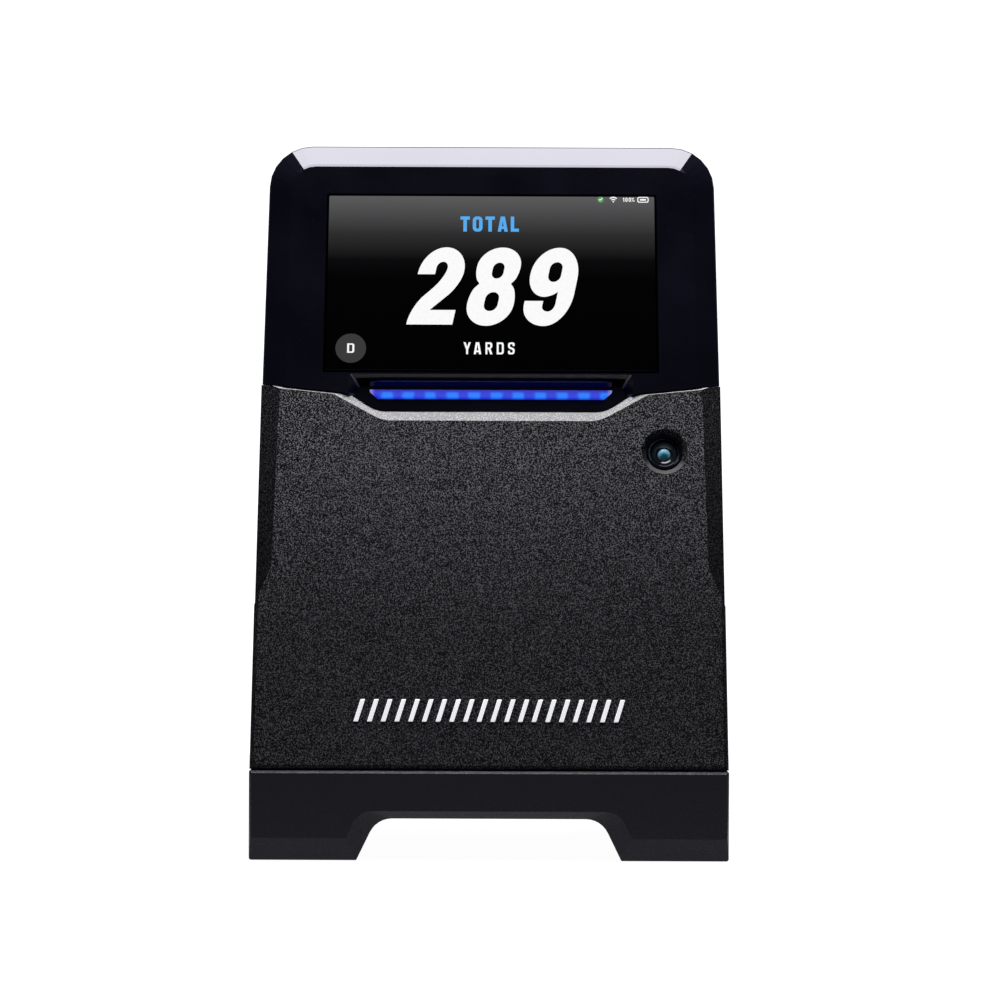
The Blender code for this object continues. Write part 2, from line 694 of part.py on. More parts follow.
def make_badge():
    """A carrier strip with a row of plain slanted bars standing proud of it."""
    frame = lean(BODY_FACE)
    low, high = (up_face(BODY_FACE, z) for z in BADGE_Z)
    edge = 0.0010
    low_corner = (-BADGE_HALF - edge, 0.0003, low - edge)
    high_corner = (BADGE_HALF + edge, 0.0008, high + edge)
    badge = keep("front_badge", block("front_badge", low_corner, high_corner), "chrome", frame)
    count, width, slant = 20, 0.0021, 0.0024
    pitch = (2 * BADGE_HALF - width - slant) / (count - 1)
    bars = []
    for index in range(count):
        x = -BADGE_HALF + index * pitch
        bars.append([(x, low), (x + width, low), (x + width + slant, high), (x + slant, high)])
    raised = prism("badge_bars", bars[0], -0.0007, 0.0005, bars[1:])
    boolean(badge, tool("badge_bars", raised, frame), "UNION")


# ---- Camera ----------------------------------------------------------------------------------------------
def camera_place(depth):
    """A frame on the camera's axis whose Z points out of the cover."""
    spot = Matrix.Translation((CAMERA_X, depth, up_face(BODY_FACE, CAMERA_Z)))
    return lean(BODY_FACE) @ spot @ Matrix.Rotation(math.pi / 2, 4, "X")


def make_camera():
    ring = (
        (0.0061, -0.0014),
        (0.0061, -0.0035),
        (0.0088, -0.0035),
        (0.0088, -0.0048),
        (0.0047, -0.0048),
        (0.0047, -0.0026),
        (0.0056, -0.0014),
    )
    turned("camera_bezel", ring, "gloss", camera_place(0.0))
    glass = rod("camera_window", 0.0044, (0, 0, -0.0042), (0, 0, -0.0030), 32)
    keep("camera_window", glass, "glass", camera_place(0.0))
    barrel = (
        (0.0050, -0.0052),
        (0.0050, -0.0180),
        (0.0004, -0.0180),
        (0.0004, -0.0085),
        (0.0034, -0.0085),
        (0.0034, -0.0052),
    )
    turned("camera_barrel", barrel, "plain", camera_place(0.0), 24)
    rise = [(0.0031 * math.cos(a), 0.0014 * math.sin(a)) for a in (0.0, 0.35, 0.7, 1.05, 1.4)]
    dome = [(0.0, 0.0014), *reversed(rise), (0.0031, -0.0012), (0.0, -0.0012)]
    turned("camera_lens", dome, "lens", camera_place(0.0068), 24)
    centre = up_face(BODY_FACE, CAMERA_Z)
    board = rounded_box(0.0090, centre - 0.0090, centre + 0.0090, 0.0010, CAMERA_X, steps=2)
    keep("camera_board", prism("camera_board", board, 0.0183, 0.0195), "board", lean(BODY_FACE))
    route = ((0.0600, -0.0002, 0.1378), (0.0588, 0.0110, 0.1380), (0.0570, 0.0235, 0.1380))
    tube("camera_cable", route, 0.0011, "rubber")


# ---- Radar -----------------------------------------------------------------------------------------------
def make_radar():
    frame = lean(BODY_FACE)
    low, high = up_face(BODY_FACE, 0.064), up_face(BODY_FACE, 0.146)
    outline = rounded_box(0.049, low, high, 0.002, steps=3)
    back = RADAR_DEPTH + BOARD_SHEET
    board = keep("radar_board", prism("radar_board", outline, RADAR_DEPTH, back), "board", frame)
    columns, rows, patch = 6, 4, 0.0042
    patches = []
    for column in range(columns):
        for row in range(rows):
            x = (column - (columns - 1) / 2) * 0.0130
            z = low + 0.020 + row * 0.0150
            corner = (x - patch, RADAR_DEPTH - 0.0003, z - patch)
            patches.append((corner, (x + patch, RADAR_DEPTH + 0.0004, z + patch)))
    boolean(board, tool("antenna_patches", blocks("antenna_patches", patches), frame), "UNION")
    near, far = back + GAP, back + 0.0058
    low, high = low + 0.012, low + 0.052
    shell = block("radar_shield", (-0.036, near, low), (0.036, far, high))
    shield = keep("radar_shield", shell, "steel", frame)
    inside = block("shield_inside", (-0.0355, 0.0, low + 0.0005), (0.0355, far - 0.0005, high - 0.0005))
    boolean(shield, tool("shield_inside", inside, frame))
    route = ((0.012, -0.0118, 0.1265), (0.012, 0.0060, 0.1245), (0.012, 0.0237, 0.1240))
    tube("radar_cable", route, 0.0010, "rubber")


# ---- Chassis, power and electronics ----------------------------------------------------------------------
def make_chassis():
    back = CHASSIS_Y + CHASSIS_SHEET
    plate = rounded_box(0.0745, 0.0345, 0.2405, 0.004, steps=3)
    holes = [
        rounded_box(0.034, 0.0985, 0.1300, 0.002, steps=3),
        rounded_box(0.006, 0.1320, 0.1440, 0.001, 0.0590, steps=2),
        rounded_box(0.009, 0.1785, 0.1885, 0.001, steps=2),
        rounded_box(0.004, 0.1480, 0.1560, 0.001, -0.030, steps=2),
    ]
    holes += [circle(0.0018, side * x, z, 16) for x, z in CASE_SCREWS for side in (-1, 1)]
    chassis = keep("chassis", prism("chassis", plate, CHASSIS_Y, back, holes), "aluminium")
    shelf = block("shelf", (-0.0745, -0.0300, 0.0350), (0.0745, CHASSIS_Y + 0.0005, 0.0366))
    boolean(chassis, tool("shelf", shelf), "UNION")
    for side in (-1, 1):
        for end in (-1, 1):
            spot = side * FOOT_X, end * BASE_SCREW_Y
            post = rod("post", 0.0042, (*spot, FOOT_FLOOR_Z + GAP), (*spot, 0.0358), 20)
            boolean(chassis, tool(f"post_{side}_{end}", post), "UNION")
            bore = rod("post_bore", 0.0018, (*spot, 0.0), (*spot, 0.0160), 16)
            boolean(chassis, tool(f"post_bore_{side}_{end}", bore))
        for z in BOARD_SCREW_Z:
            x = side * BOARD_SCREW_X
            boss = rod("stand", 0.0028, (x, back - 0.0006, z), (x, BOARD_Y - GAP, z), 16)
            boolean(chassis, tool(f"stand_{side}_{z}", boss), "UNION")
            bore = rod("stand_bore", 0.0015, (x, 0.010, z), (x, 0.030, z), 12)
            boolean(chassis, tool(f"stand_bore_{side}_{z}", bore))


def make_battery():
    pack = block("battery_pack", (-0.048, -0.0120, 0.0370), (0.048, 0.0150, 0.0910))
    battery = keep("battery_pack", pack, "cell")
    bevel = battery.modifiers.new("soft_edges", "BEVEL")
    bevel.width = 0.002
    bevel.segments = 2
    outer = block("battery_bracket", (-0.0500, -0.0140, 0.0560), (0.0500, CHASSIS_Y - GAP, 0.0700))
    bracket = keep("battery_bracket", outer, "aluminium")
    inside = block("bracket_inside", (-0.0485, -0.0125, 0.050), (0.0485, 0.030, 0.080))
    boolean(bracket, tool("bracket_inside", inside))
    for side in (-1, 1):
        edges = sorted((side * 0.0490, side * 0.0580))
        ear = block("ear", (edges[0], 0.0165, 0.0560), (edges[1], CHASSIS_Y - GAP, 0.0700))
        boolean(bracket, tool(f"ear_{side}", ear), "UNION")
    route = (
        (-0.020, 0.0015, 0.0914),
        (-0.020, 0.0020, 0.1050),
        (-0.020, 0.0100, 0.1210),
        (-0.020, 0.0235, 0.1225),
    )
    tube("battery_cable", route, 0.0014, "rubber")


def make_main_board():
    back = BOARD_Y + BOARD_SHEET
    outline = rounded_box(0.0620, 0.1190, 0.2320, 0.003, steps=3)
    holes = [circle(0.0015, side * BOARD_SCREW_X, z, 12) for z in BOARD_SCREW_Z for side in (-1, 1)]
    keep("main_board", prism("main_board", outline, BOARD_Y, back, holes), "board")
    can = block("processor_shield", (-0.022, back + GAP, 0.186), (0.022, back + 0.0028, 0.222))
    keep("processor_shield", can, "steel")
    start = back + 0.0031
    plate = block("heat_sink", (-0.026, start, 0.184), (0.026, start + 0.0022, 0.224))
    sink = keep("heat_sink", plate, "aluminium")
    fins, pitch = 9, 0.0060
    corners = []
    for index in range(fins):
        x = (index - (fins - 1) / 2) * pitch
        corners.append(((x - 0.0007, start + 0.0015, 0.184), (x + 0.0007, 0.0385, 0.224)))
    boolean(sink, tool("fins", blocks("fins", corners)), "UNION")
    aerial = block("wifi_antenna", (-0.024, 0.0260, 0.2500), (0.024, 0.0335, 0.2508))
    keep("wifi_antenna", aerial, "amber")


def make_ports():
    back = BOARD_Y + BOARD_SHEET + GAP
    shell = rounded_box(0.0045, USB_Z - 0.0016, USB_Z + 0.0016, 0.0015, USB_X, steps=4)
    port = keep("usb_port", prism("usb_port", shell, back, 0.0348), "steel")
    inside = rounded_box(0.0042, USB_Z - 0.0013, USB_Z + 0.0013, 0.0012, USB_X, steps=4)
    boolean(port, tool("usb_inside", prism("usb_inside", inside, 0.0280, 0.04)))
    half, rise = 0.0033, 0.00035
    tongue = block("usb_tongue", (USB_X - half, 0.0283, USB_Z - rise), (USB_X + half, 0.0338, USB_Z + rise))
    keep("usb_tongue", tongue, "plain")
    corner = 0.0035
    low_corner = (BUTTON_X - corner, back, BUTTON_Z - corner)
    high_corner = (BUTTON_X + corner, 0.0300, BUTTON_Z + corner)
    switch = keep("power_switch", block("power_switch", low_corner, high_corner), "plain")
    plunger = rod("plunger", 0.0017, (BUTTON_X, 0.0295, BUTTON_Z), (BUTTON_X, 0.0355, BUTTON_Z), 16)
    boolean(switch, tool("plunger", plunger), "UNION")


# ---- Moving pieces ---------------------------------------------------------------------------------------
def make_power_button():
    cap = (
        (BUTTON_RADIUS - 0.0006, 0.0417),
        (BUTTON_RADIUS, 0.0411),
        (BUTTON_RADIUS, 0.0393),
        (0.0075, 0.0393),
        (0.0075, 0.0384),
        (0.0022, 0.0384),
        (0.0022, 0.0366),
        (0.0, 0.0366),
        (0.0, 0.0417),
    )
    place = Matrix.Translation((BUTTON_X, 0, BUTTON_Z)) @ Matrix.Rotation(-math.pi / 2, 4, "X")
    turned("power_button", cap, "plain", place)


def make_tilt_leg():
    outer_y, inner_y = 0.0415, 0.0364
    plate = [
        (inner_y, LEG_AXIS_Z),
        (outer_y - 0.0003, LEG_AXIS_Z),
        (outer_y, LEG_AXIS_Z + 0.0030),
        (outer_y, LEG_END_Z),
        (0.0402, LEG_END_Z),
        (0.0402, LEG_END_Z + 0.0045),
        (0.0380, LEG_END_Z + 0.0045),
        (0.0380, LEG_END_Z),
        (inner_y, LEG_END_Z),
    ]
    plate = [Vector(point) for point in plate]
    leg = keep("tilt_leg", side_prism("tilt_leg", plate, -LEG_HALF, LEG_HALF), "plain")
    axis = [(side * LEG_HALF, LEG_AXIS_Y, LEG_AXIS_Z) for side in (-1, 1)]
    boolean(leg, tool("leg_barrel", rod("leg_barrel", LEG_BARREL, *axis, 24)), "UNION")
    long_axis = [(side * 0.04, LEG_AXIS_Y, LEG_AXIS_Z) for side in (-1, 1)]
    boolean(leg, tool("leg_bore", rod("leg_bore", LEG_PIN_RADIUS + GAP, *long_axis, 16)))
    corners = []
    for side in (-1, 1):
        edges = sorted((side * 0.0040, side * 0.0200))
        corners.append(((edges[0], 0.0350, 0.0520), (edges[1], 0.0386, 0.0930)))
        edges = sorted((side * 0.0185, side * 0.0300))
        corners.append(((edges[0], 0.0350, LEG_END_Z), (edges[1], 0.0450, 0.1100)))
    boolean(leg, tool("leg_relief", blocks("leg_relief", corners)))
    move_origin(leg, (0, LEG_AXIS_Y, LEG_AXIS_Z))
    tip_outline = rounded_box(0.0215, LEG_END_Z + GAP, 0.1062, 0.0020, steps=3)
    tip = keep("leg_tip", prism("leg_tip", tip_outline, 0.0364, 0.0415), "rubber")
    slot_low = (-0.0190, 0.0376, 0.090)
    slot = block("tip_slot", slot_low, (0.0190, 0.0406, LEG_END_Z + 0.0049))
    boolean(tip, tool("tip_slot", slot))
    move_origin(tip, (0, LEG_AXIS_Y, LEG_AXIS_Z))
    pin_ends = [(side * 0.0288, LEG_AXIS_Y, LEG_AXIS_Z) for side in (-1, 1)]
    keep("leg_pin", rod("leg_pin", LEG_PIN_RADIUS, *pin_ends, 16), "steel")
    for side, side_name in ((-1, "left"), (1, "right")):
        spots = [(side * reach, LEG_AXIS_Y, LEG_AXIS_Z) for reach in (LEG_HALF + 0.0003, 0.0259)]
        washer = keep(f"leg_washer_{side_name}", rod("leg_washer", 0.0026, *spots, 20), "plain")
        boolean(washer, bpy.data.objects["tool_leg_bore"])


def make_port_door():
    outline = rounded_box(PORT_HALF - 0.0005, 0.1270, 0.1430, 0.0010, PORT_X, steps=3)
    door = keep("port_door", prism("port_door", outline, 0.0397, 0.0417), "rubber")
    axis = [(PORT_X + reach, DOOR_AXIS_Y, DOOR_AXIS_Z) for reach in (-0.0155, 0.0155)]
    boolean(door, tool("door_barrel", rod("door_barrel", DOOR_BARREL, *axis, 16)), "UNION")
    boolean(door, tool("door_bore", rod("door_bore", DOOR_PIN_RADIUS + GAP, *ends_beyond(axis), 12)))
    move_origin(door, (PORT_X, DOOR_AXIS_Y, DOOR_AXIS_Z))
    pin_ends = [(PORT_X + reach, DOOR_AXIS_Y, DOOR_AXIS_Z) for reach in (-0.0188, 0.0188)]
    keep("port_door_pin", rod("port_door_pin", DOOR_PIN_RADIUS, *pin_ends, 12), "steel")


def ends_beyond(axis, extra=0.004):
    (x0, y, z), (x1, _, _) = axis
    return (x0 - extra, y, z), (x1 + extra, y, z)


# ---- Fasteners -------------------------------------------------------------------------------------------
def screw(name, head_radius, head_height, shank_radius, length, place):
    """A pan-head screw with a hexagonal socket; its head's top is at local zero and its shank runs down."""
    profile = (
        (head_radius - 0.0003, 0.0),
        (head_radius, -0.0003),
        (head_radius, -head_height),
        (shank_radius, -head_height),
        (shank_radius, -length),
        (0.0, -length),
        (0.0, 0.0),
    )
    piece = turned(name, profile, "steel", place, 16)
    socket = rod("socket", head_radius * 0.5, (0, 0, -head_height * 0.6), (0, 0, 0.001), 6)
    boolean(piece, tool("socket_" + name, socket, place))


def make_screws():
    backward = Matrix.Rotation(-math.pi / 2, 4, "X")
    downward = Matrix.Rotation(math.pi, 4, "X")
    names = (("low", CASE_SCREWS[0]), ("high", CASE_SCREWS[1]))
    for side, side_name in ((-1, "left"), (1, "right")):
        for level, (x, z) in names:
            place = Matrix.Translation((side * x, 0.0416, z)) @ backward
            screw(f"case_screw_{level}_{side_name}", 0.0028, 0.0021, 0.0015, 0.0245, place)
        for end, end_name in ((-1, "front"), (1, "rear")):
            place = Matrix.Translation((side * FOOT_X, end * BASE_SCREW_Y, 0.0007)) @ downward
            screw(f"base_screw_{end_name}_{side_name}", 0.0028, 0.0016, 0.0015, 0.0120, place)
        for z, level in zip(BOARD_SCREW_Z, ("low", "high")):
            back = BOARD_Y + BOARD_SHEET + GAP + 0.0014
            place = Matrix.Translation((side * BOARD_SCREW_X, back, z)) @ backward
            screw(f"board_screw_{level}_{side_name}", 0.0022, 0.0014, 0.0012, 0.0078, place)


clear_scene()
MATERIALS = make_materials()
make_hood()
make_front_cover()
make_rear_cover()
make_case_gasket()
make_base()
make_foot_pads()
make_display()
make_light_bar()
make_badge()
make_camera()
make_radar()
make_chassis()
make_battery()
make_main_board()
make_ports()
make_power_button()
make_tilt_leg()
make_port_door()
make_screws()
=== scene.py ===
"""Looks for the launch monitor: finishes, screen graphics, badge, camera glass, studio light and camera."""

import math

import bmesh
import bpy
import mathutils
from mathutils import Matrix, Vector


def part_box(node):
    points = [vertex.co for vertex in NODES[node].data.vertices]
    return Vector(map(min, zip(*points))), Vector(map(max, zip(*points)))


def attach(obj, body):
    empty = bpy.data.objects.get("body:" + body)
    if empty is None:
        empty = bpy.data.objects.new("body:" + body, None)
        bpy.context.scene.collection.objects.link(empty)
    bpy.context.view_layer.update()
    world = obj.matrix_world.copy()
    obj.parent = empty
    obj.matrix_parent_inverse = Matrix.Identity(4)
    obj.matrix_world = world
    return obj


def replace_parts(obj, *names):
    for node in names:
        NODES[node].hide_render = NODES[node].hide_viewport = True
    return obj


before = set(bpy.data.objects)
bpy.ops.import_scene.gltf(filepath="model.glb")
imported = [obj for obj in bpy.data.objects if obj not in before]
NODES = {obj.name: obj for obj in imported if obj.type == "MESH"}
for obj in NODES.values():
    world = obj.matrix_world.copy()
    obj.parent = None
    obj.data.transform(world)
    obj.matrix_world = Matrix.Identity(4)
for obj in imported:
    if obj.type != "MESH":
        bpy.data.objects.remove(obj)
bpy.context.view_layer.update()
HOUSING = "housing"

ARC_STEPS = 7
QUARTER_HANDLE = 0.5523
BLACK = (0.0, 0.0, 0.0)


# ---- Node helpers ----------------------------------------------------------------------------------------
def add(tree, kind, values=None, **settings):
    """A shader node with its settings made, and its inputs set or linked."""
    made = tree.nodes.new("ShaderNode" + kind)
    for key, value in settings.items():
        setattr(made, key, value)
    for key, value in (values or {}).items():
        if isinstance(value, bpy.types.NodeSocket):
            tree.links.new(value, made.inputs[key])
        else:
            made.inputs[key].default_value = value
    return made


def rgb(colour):
    """A colour with full opacity, as a socket wants it."""
    return (*colour, 1.0)


def scaled(colour, factor):
    """A lighter or darker colour, held below white."""
    return (*(min(1.0, part * factor) for part in colour), 1.0)


def mix(tree, factor, low, high):
    """Blends two colours: low at a factor of 0, high at 1."""
    return add(tree, "MixRGB", {"Fac": factor, "Color1": low, "Color2": high}).outputs[0]


def remap(tree, value, low, high, to_low=0.0, to_high=1.0):
    """Stretches a value from one range to another, and holds it at the ends."""
    values = {"Value": value, "From Min": low, "From Max": high, "To Min": to_low, "To Max": to_high}
    return add(tree, "MapRange", values).outputs[0]


def calc(tree, operation, first, second=0.0):
    """One step of arithmetic."""
    return add(tree, "Math", {0: first, 1: second}, operation=operation).outputs[0]


def axis(tree, vector, letter):
    """One coordinate of a vector."""
    return add(tree, "SeparateXYZ", {0: vector}).outputs[letter]


def distance(tree, coords, centre):
    return add(tree, "VectorMath", {0: coords, 1: centre}, operation="DISTANCE").outputs["Value"]


def noise(tree, coords, size, detail=2.0, rough=0.5):
    """Noise whose blobs are about that size, in metres."""
    values = {"Vector": coords, "Scale": 1.0 / size, "Detail": detail, "Roughness": rough}
    return add(tree, "TexNoise", values).outputs["Fac"]


def start(name):
    """An empty node material, with its principled shader and its object coordinates."""
    made = bpy.data.materials.new(name)
    made.use_nodes = True
    tree = made.node_tree
    shader = tree.nodes["Principled BSDF"]
    coords = tree.nodes.new("ShaderNodeTexCoord").outputs["Object"]
    return made, tree, shader, coords


def with_grain(tree, coords, tone, rough, colour, grain, depth, shade):
    """Moulded grain: its relief, its crests, and a tone and roughness with dull pits; the tone is a painted
    highlight on the crests and painted shade in the pits.
    """
    pit_share, crest_power, crest_highlight_gain, pit_roughness = 0.5, 3.0, 5.4, 0.30
    cells = add(tree, "TexVoronoi", {"Vector": coords, "Scale": 1.0 / grain}, feature="SMOOTH_F1")
    pits = remap(tree, cells.outputs["Distance"], 0.15, 0.75)
    folds = remap(tree, noise(tree, coords, grain * 0.9, 1.0, 0.5), 0.32, 0.68)
    pits = calc(tree, "MULTIPLY", pits, pit_share)
    folds = calc(tree, "MULTIPLY", folds, 1.0 - pit_share)
    height = calc(tree, "ADD", pits, folds)
    bump = add(tree, "Bump", {"Height": height, "Distance": depth, "Strength": 1.0})
    crest = calc(tree, "POWER", remap(tree, height, 0.34, 0.66), crest_power)
    # Painted light: the crests take a painted highlight of up to crest_highlight_gain times the colour, and
    # the pits fall to black as painted shade.
    tone = mix(tree, shade, tone, mix(tree, crest, rgb(BLACK), scaled(colour, crest_highlight_gain)))
    rough = calc(tree, "ADD", rough, remap(tree, crest, 0.0, 1.0, pit_roughness * shade, 0.0))
    return bump.outputs["Normal"], crest, tone, rough


def with_painted_top_light(tree, coords, tone, crest, painted_top_light, spot):
    """Painted highlight on faces where the shape looks up, kept down to painted shade in the hollow at the
    spot; painted shade on the sides and foot, and the head painted a little lighter.
    """
    side_painted_shade, foot_painted_shade, head_painted_light = 0.30, 0.55, 1.15
    foot_z, head_z = 0.080, 0.155
    hollow, hollow_soft, hollow_painted_shade = 0.0105, 0.0010, 0.25
    facing = tree.nodes.new("ShaderNodeTexCoord").outputs["Normal"]
    aside = calc(tree, "ABSOLUTE", axis(tree, facing, "X"))
    # Painted shade: faces turned aside go down to side_painted_shade, and the tone runs from
    # foot_painted_shade at the foot to head_painted_light at the head.
    painted_shade = calc(tree, "MULTIPLY", remap(tree, aside, 0.25, 0.45, 1.0, side_painted_shade),
               remap(tree, axis(tree, coords, "Z"), foot_z, head_z, foot_painted_shade, head_painted_light))
    tone = mix(tree, painted_shade, rgb(BLACK), tone)
    # Painted highlight on faces that look up, paler on the grain's crests; within hollow of the spot it drops
    # to hollow_painted_shade as painted shade.
    pale = mix(tree, crest, rgb((painted_top_light * 0.7,) * 3), rgb((painted_top_light * 1.3,) * 3))
    outside = remap(tree, distance(tree, coords, Vector(spot)), hollow, hollow + hollow_soft)
    pale = mix(tree, outside, rgb((painted_top_light * hollow_painted_shade,) * 3), pale)
    return mix(tree, remap(tree, axis(tree, facing, "Z"), 0.42, 0.60), tone, pale)


def with_ribs(tree, coords, relief, spacing, low, high, rib_depth):
    """Grip ribs across a band of heights, on top of the grain's relief."""
    fade = 0.0004
    up = axis(tree, coords, "Z")
    wave = calc(tree, "SINE", calc(tree, "MULTIPLY", up, 2 * math.pi / spacing))
    band = calc(tree, "MULTIPLY", remap(tree, up, low, low + fade), remap(tree, up, high, high - fade))
    values = {"Height": calc(tree, "MULTIPLY", wave, band), "Distance": rib_depth, "Normal": relief}
    return add(tree, "Bump", values).outputs["Normal"]


def with_dust(tree, coords, tone, rough, dust):
    """Small pale specks."""
    specks = add(tree, "TexVoronoi", {"Vector": coords, "Scale": 420.0, "Randomness": 1.0})
    spot = remap(tree, specks.outputs["Distance"], 0.05, 0.12, dust, 0.0)
    return mix(tree, spot, tone, rgb((0.35, 0.34, 0.33))), calc(tree, "ADD", rough, spot)


def with_wear_and_edge_highlight(tree, tone, smudge, colour, wear):
    """Paler edges, rubbed unevenly: partly wear, and partly a painted highlight where the tone is held at
    0.02 at least.
    """
    point = add(tree, "NewGeometry").outputs["Pointiness"]
    edge = calc(tree, "MULTIPLY", remap(tree, point, 0.52, 0.62), remap(tree, smudge, 0.40, 0.60))
    # The floor of 0.02 paints a faint highlight along the edges of dark finishes.
    wear_and_highlight_tone = rgb(max(5.0 * part, 0.02) for part in colour)
    return mix(tree, calc(tree, "MULTIPLY", edge, wear), tone, wear_and_highlight_tone)


def with_matt_hollow(tree, coords, rough, half_x, high_z):
    """Slightly duller walls inside a hollow of that half width, below that height."""
    soft_x, soft_z, duller = 0.001, 0.0003, 0.025
    beside = calc(tree, "ABSOLUTE", axis(tree, coords, "X"))
    beside = remap(tree, beside, half_x, half_x + soft_x, 1.0, 0.0)
    below = remap(tree, axis(tree, coords, "Z"), high_z, high_z + soft_z, 1.0, 0.0)
    inside = calc(tree, "MULTIPLY", beside, below)
    return calc(tree, "ADD", rough, calc(tree, "MULTIPLY", inside, duller))


def finish(
    name,
    colour,
    roughness,
    metallic=0.0,
    patch=0.12,
    rough_spread=0.08,
    grain=0.0,
    depth=0.0,
    shade=0.0,
    wear=0.0,
    specular=0.5,
    dust=0.0,
    painted_top_light=0.0,
    painted_shade_spot=BLACK,
    tint=(1.0, 1.0, 1.0),
    matt_below=None,
    painted_glow=0.0,
    ribs=None,
):
    """A moulded, sheet or machined finish, patchy in colour and uneven in gloss.

    patch, rough_spread: how far the colour and the roughness drift from place to place.
    grain, depth, shade: the size and height of the grain, and how much of the tone follows it, as painted
    highlight on its crests and painted shade in its pits.
    wear, dust: the strength of pale edges, partly wear and partly painted highlight, and of pale specks.
    specular, tint: the strength and the colour of the gloss.
    crown, painted_shade_spot: on a grained finish, the painted highlight on faces that look up, and a point
    around which they keep painted shade.
    matt_below: the half width and the top of a hollow with duller walls.
    lift: a painted glow that the finish gives off, as a share of its colour, standing in for reflected light.
    ribs: on a grained finish, the spacing, low end, high end and height of grip ribs.
    """
    made, tree, shader, coords = start(name)
    cloud = remap(tree, noise(tree, coords, 0.030, 4.0), 0.3, 0.7)
    tone = mix(tree, cloud, scaled(colour, 1.0 - patch), scaled(colour, 1.0 + patch))
    smudge = noise(tree, coords, 0.011, 5.0, 0.65)
    smoothest, roughest = max(0.02, roughness - rough_spread), roughness + rough_spread
    rough = remap(tree, smudge, 0.3, 0.7, smoothest, roughest)
    if grain:
        relief, crest, tone, rough = with_grain(tree, coords, tone, rough, colour, grain, depth, shade)
        # Painted highlight on up-facing faces, and painted shade on the sides, the foot and the hollow at
        # painted_shade_spot.
        if painted_top_light:
            tone = with_painted_top_light(tree, coords, tone, crest, painted_top_light, painted_shade_spot)
        if ribs:
            relief = with_ribs(tree, coords, relief, *ribs)
        tree.links.new(relief, shader.inputs["Normal"])
    if dust:
        tone, rough = with_dust(tree, coords, tone, rough, dust)
    # Pale edges: wear, with a painted edge highlight on dark finishes.
    if wear:
        tone = with_wear_and_edge_highlight(tree, tone, smudge, colour, wear)
    if matt_below:
        rough = with_matt_hollow(tree, coords, rough, *matt_below)
    tree.links.new(tone, shader.inputs["Base Color"])
    tree.links.new(rough, shader.inputs["Roughness"])
    shader.inputs["Specular Tint"].default_value = rgb(tint)
    shader.inputs["Specular IOR Level"].default_value = specular
    shader.inputs["Metallic"].default_value = metallic
    # Painted glow: with lift, the finish gives off light in its own colour in place of reflected light.
    shader.inputs["Emission Color"].default_value = rgb(colour)
    shader.inputs["Emission Strength"].default_value = painted_glow
    return made


def glow(name, colour, strength):
    """A lit part of the screen: its light is a little uneven, and the glass over it is glossy."""
    made, tree, shader, coords = start(name)
    cells = remap(tree, noise(tree, coords, 0.0009, 1.0), 0.2, 0.8, 0.93, 1.0)
    tree.links.new(mix(tree, cells, rgb(BLACK), rgb(colour)), shader.inputs["Emission Color"])
    shader.inputs["Emission Strength"].default_value = strength
    shader.inputs["Base Color"].default_value = rgb((0.01, 0.01, 0.01))
    shader.inputs["Roughness"].default_value = 0.12
    return made


def screen_glass(name, low_z, high_z):
    """The lit screen: dark grey at its top, which fades to black a third of the way down."""
    fade = ((0.0, 0.0), (0.52, 0.0003), (0.63, 0.0027), (0.78, 0.026), (0.90, 0.068), (1.0, 0.105))
    blue_cast = 1.03
    made, tree, shader, coords = start(name)
    ramp = add(tree, "ValToRGB", {"Fac": remap(tree, axis(tree, coords, "Z"), low_z, high_z)})
    ramp.color_ramp.elements[0].position = fade[0][0]
    ramp.color_ramp.elements[1].position = fade[-1][0]
    for place, _ in fade[1:-1]:
        ramp.color_ramp.elements.new(place)
    for element, (_, level) in zip(ramp.color_ramp.elements, fade):
        element.color = rgb((level, level, level * blue_cast))
    tree.links.new(ramp.outputs["Color"], shader.inputs["Emission Color"])
    shader.inputs["Emission Strength"].default_value = 1.0
    shader.inputs["Base Color"].default_value = rgb((0.0003, 0.0003, 0.0004))
    shader.inputs["Specular IOR Level"].default_value = 0.08
    smears = remap(tree, noise(tree, coords, 0.016, 5.0, 0.7), 0.3, 0.7, 0.03, 0.09)
    tree.links.new(smears, shader.inputs["Roughness"])
    return made


def light_pipe(name, node):
    """A blue diffuser with a row of lights behind it, and pale cut ends."""
    light_pitch = 0.0078
    between, bright = (0.016, 0.038, 0.66), (0.010, 0.19, 1.0)
    rim_tone, rim_start, rim_full = (0.016, 0.022, 0.50), 0.0007, 0.0015
    end_tone, end_start, end_full = (0.34, 0.30, 0.66), 0.0412, 0.0434
    low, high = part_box(node)
    made, tree, shader, coords = start(name)
    along, up = axis(tree, coords, "X"), axis(tree, coords, "Z")
    wave = calc(tree, "SINE", calc(tree, "MULTIPLY", along, 2 * math.pi / light_pitch))
    cloud = remap(tree, noise(tree, coords, 0.004, 3.0, 0.6), 0.0, 1.0, -0.35, 0.35)
    spread = calc(tree, "ADD", remap(tree, wave, -1.0, 1.0), cloud)
    tone = mix(tree, remap(tree, spread, 0.25, 0.75), rgb(between), rgb(bright))
    rim = calc(tree, "ABSOLUTE", calc(tree, "SUBTRACT", up, (low.z + high.z) / 2))
    tone = mix(tree, remap(tree, rim, rim_start, rim_full), tone, rgb(rim_tone))
    end = calc(tree, "ABSOLUTE", along)
    tone = mix(tree, remap(tree, end, end_start, end_full), tone, rgb(end_tone))
    tree.links.new(tone, shader.inputs["Emission Color"])
    shader.inputs["Emission Strength"].default_value = 1.0
    shader.inputs["Base Color"].default_value = rgb((0.001, 0.002, 0.008))
    shader.inputs["Roughness"].default_value = 0.35
    return made


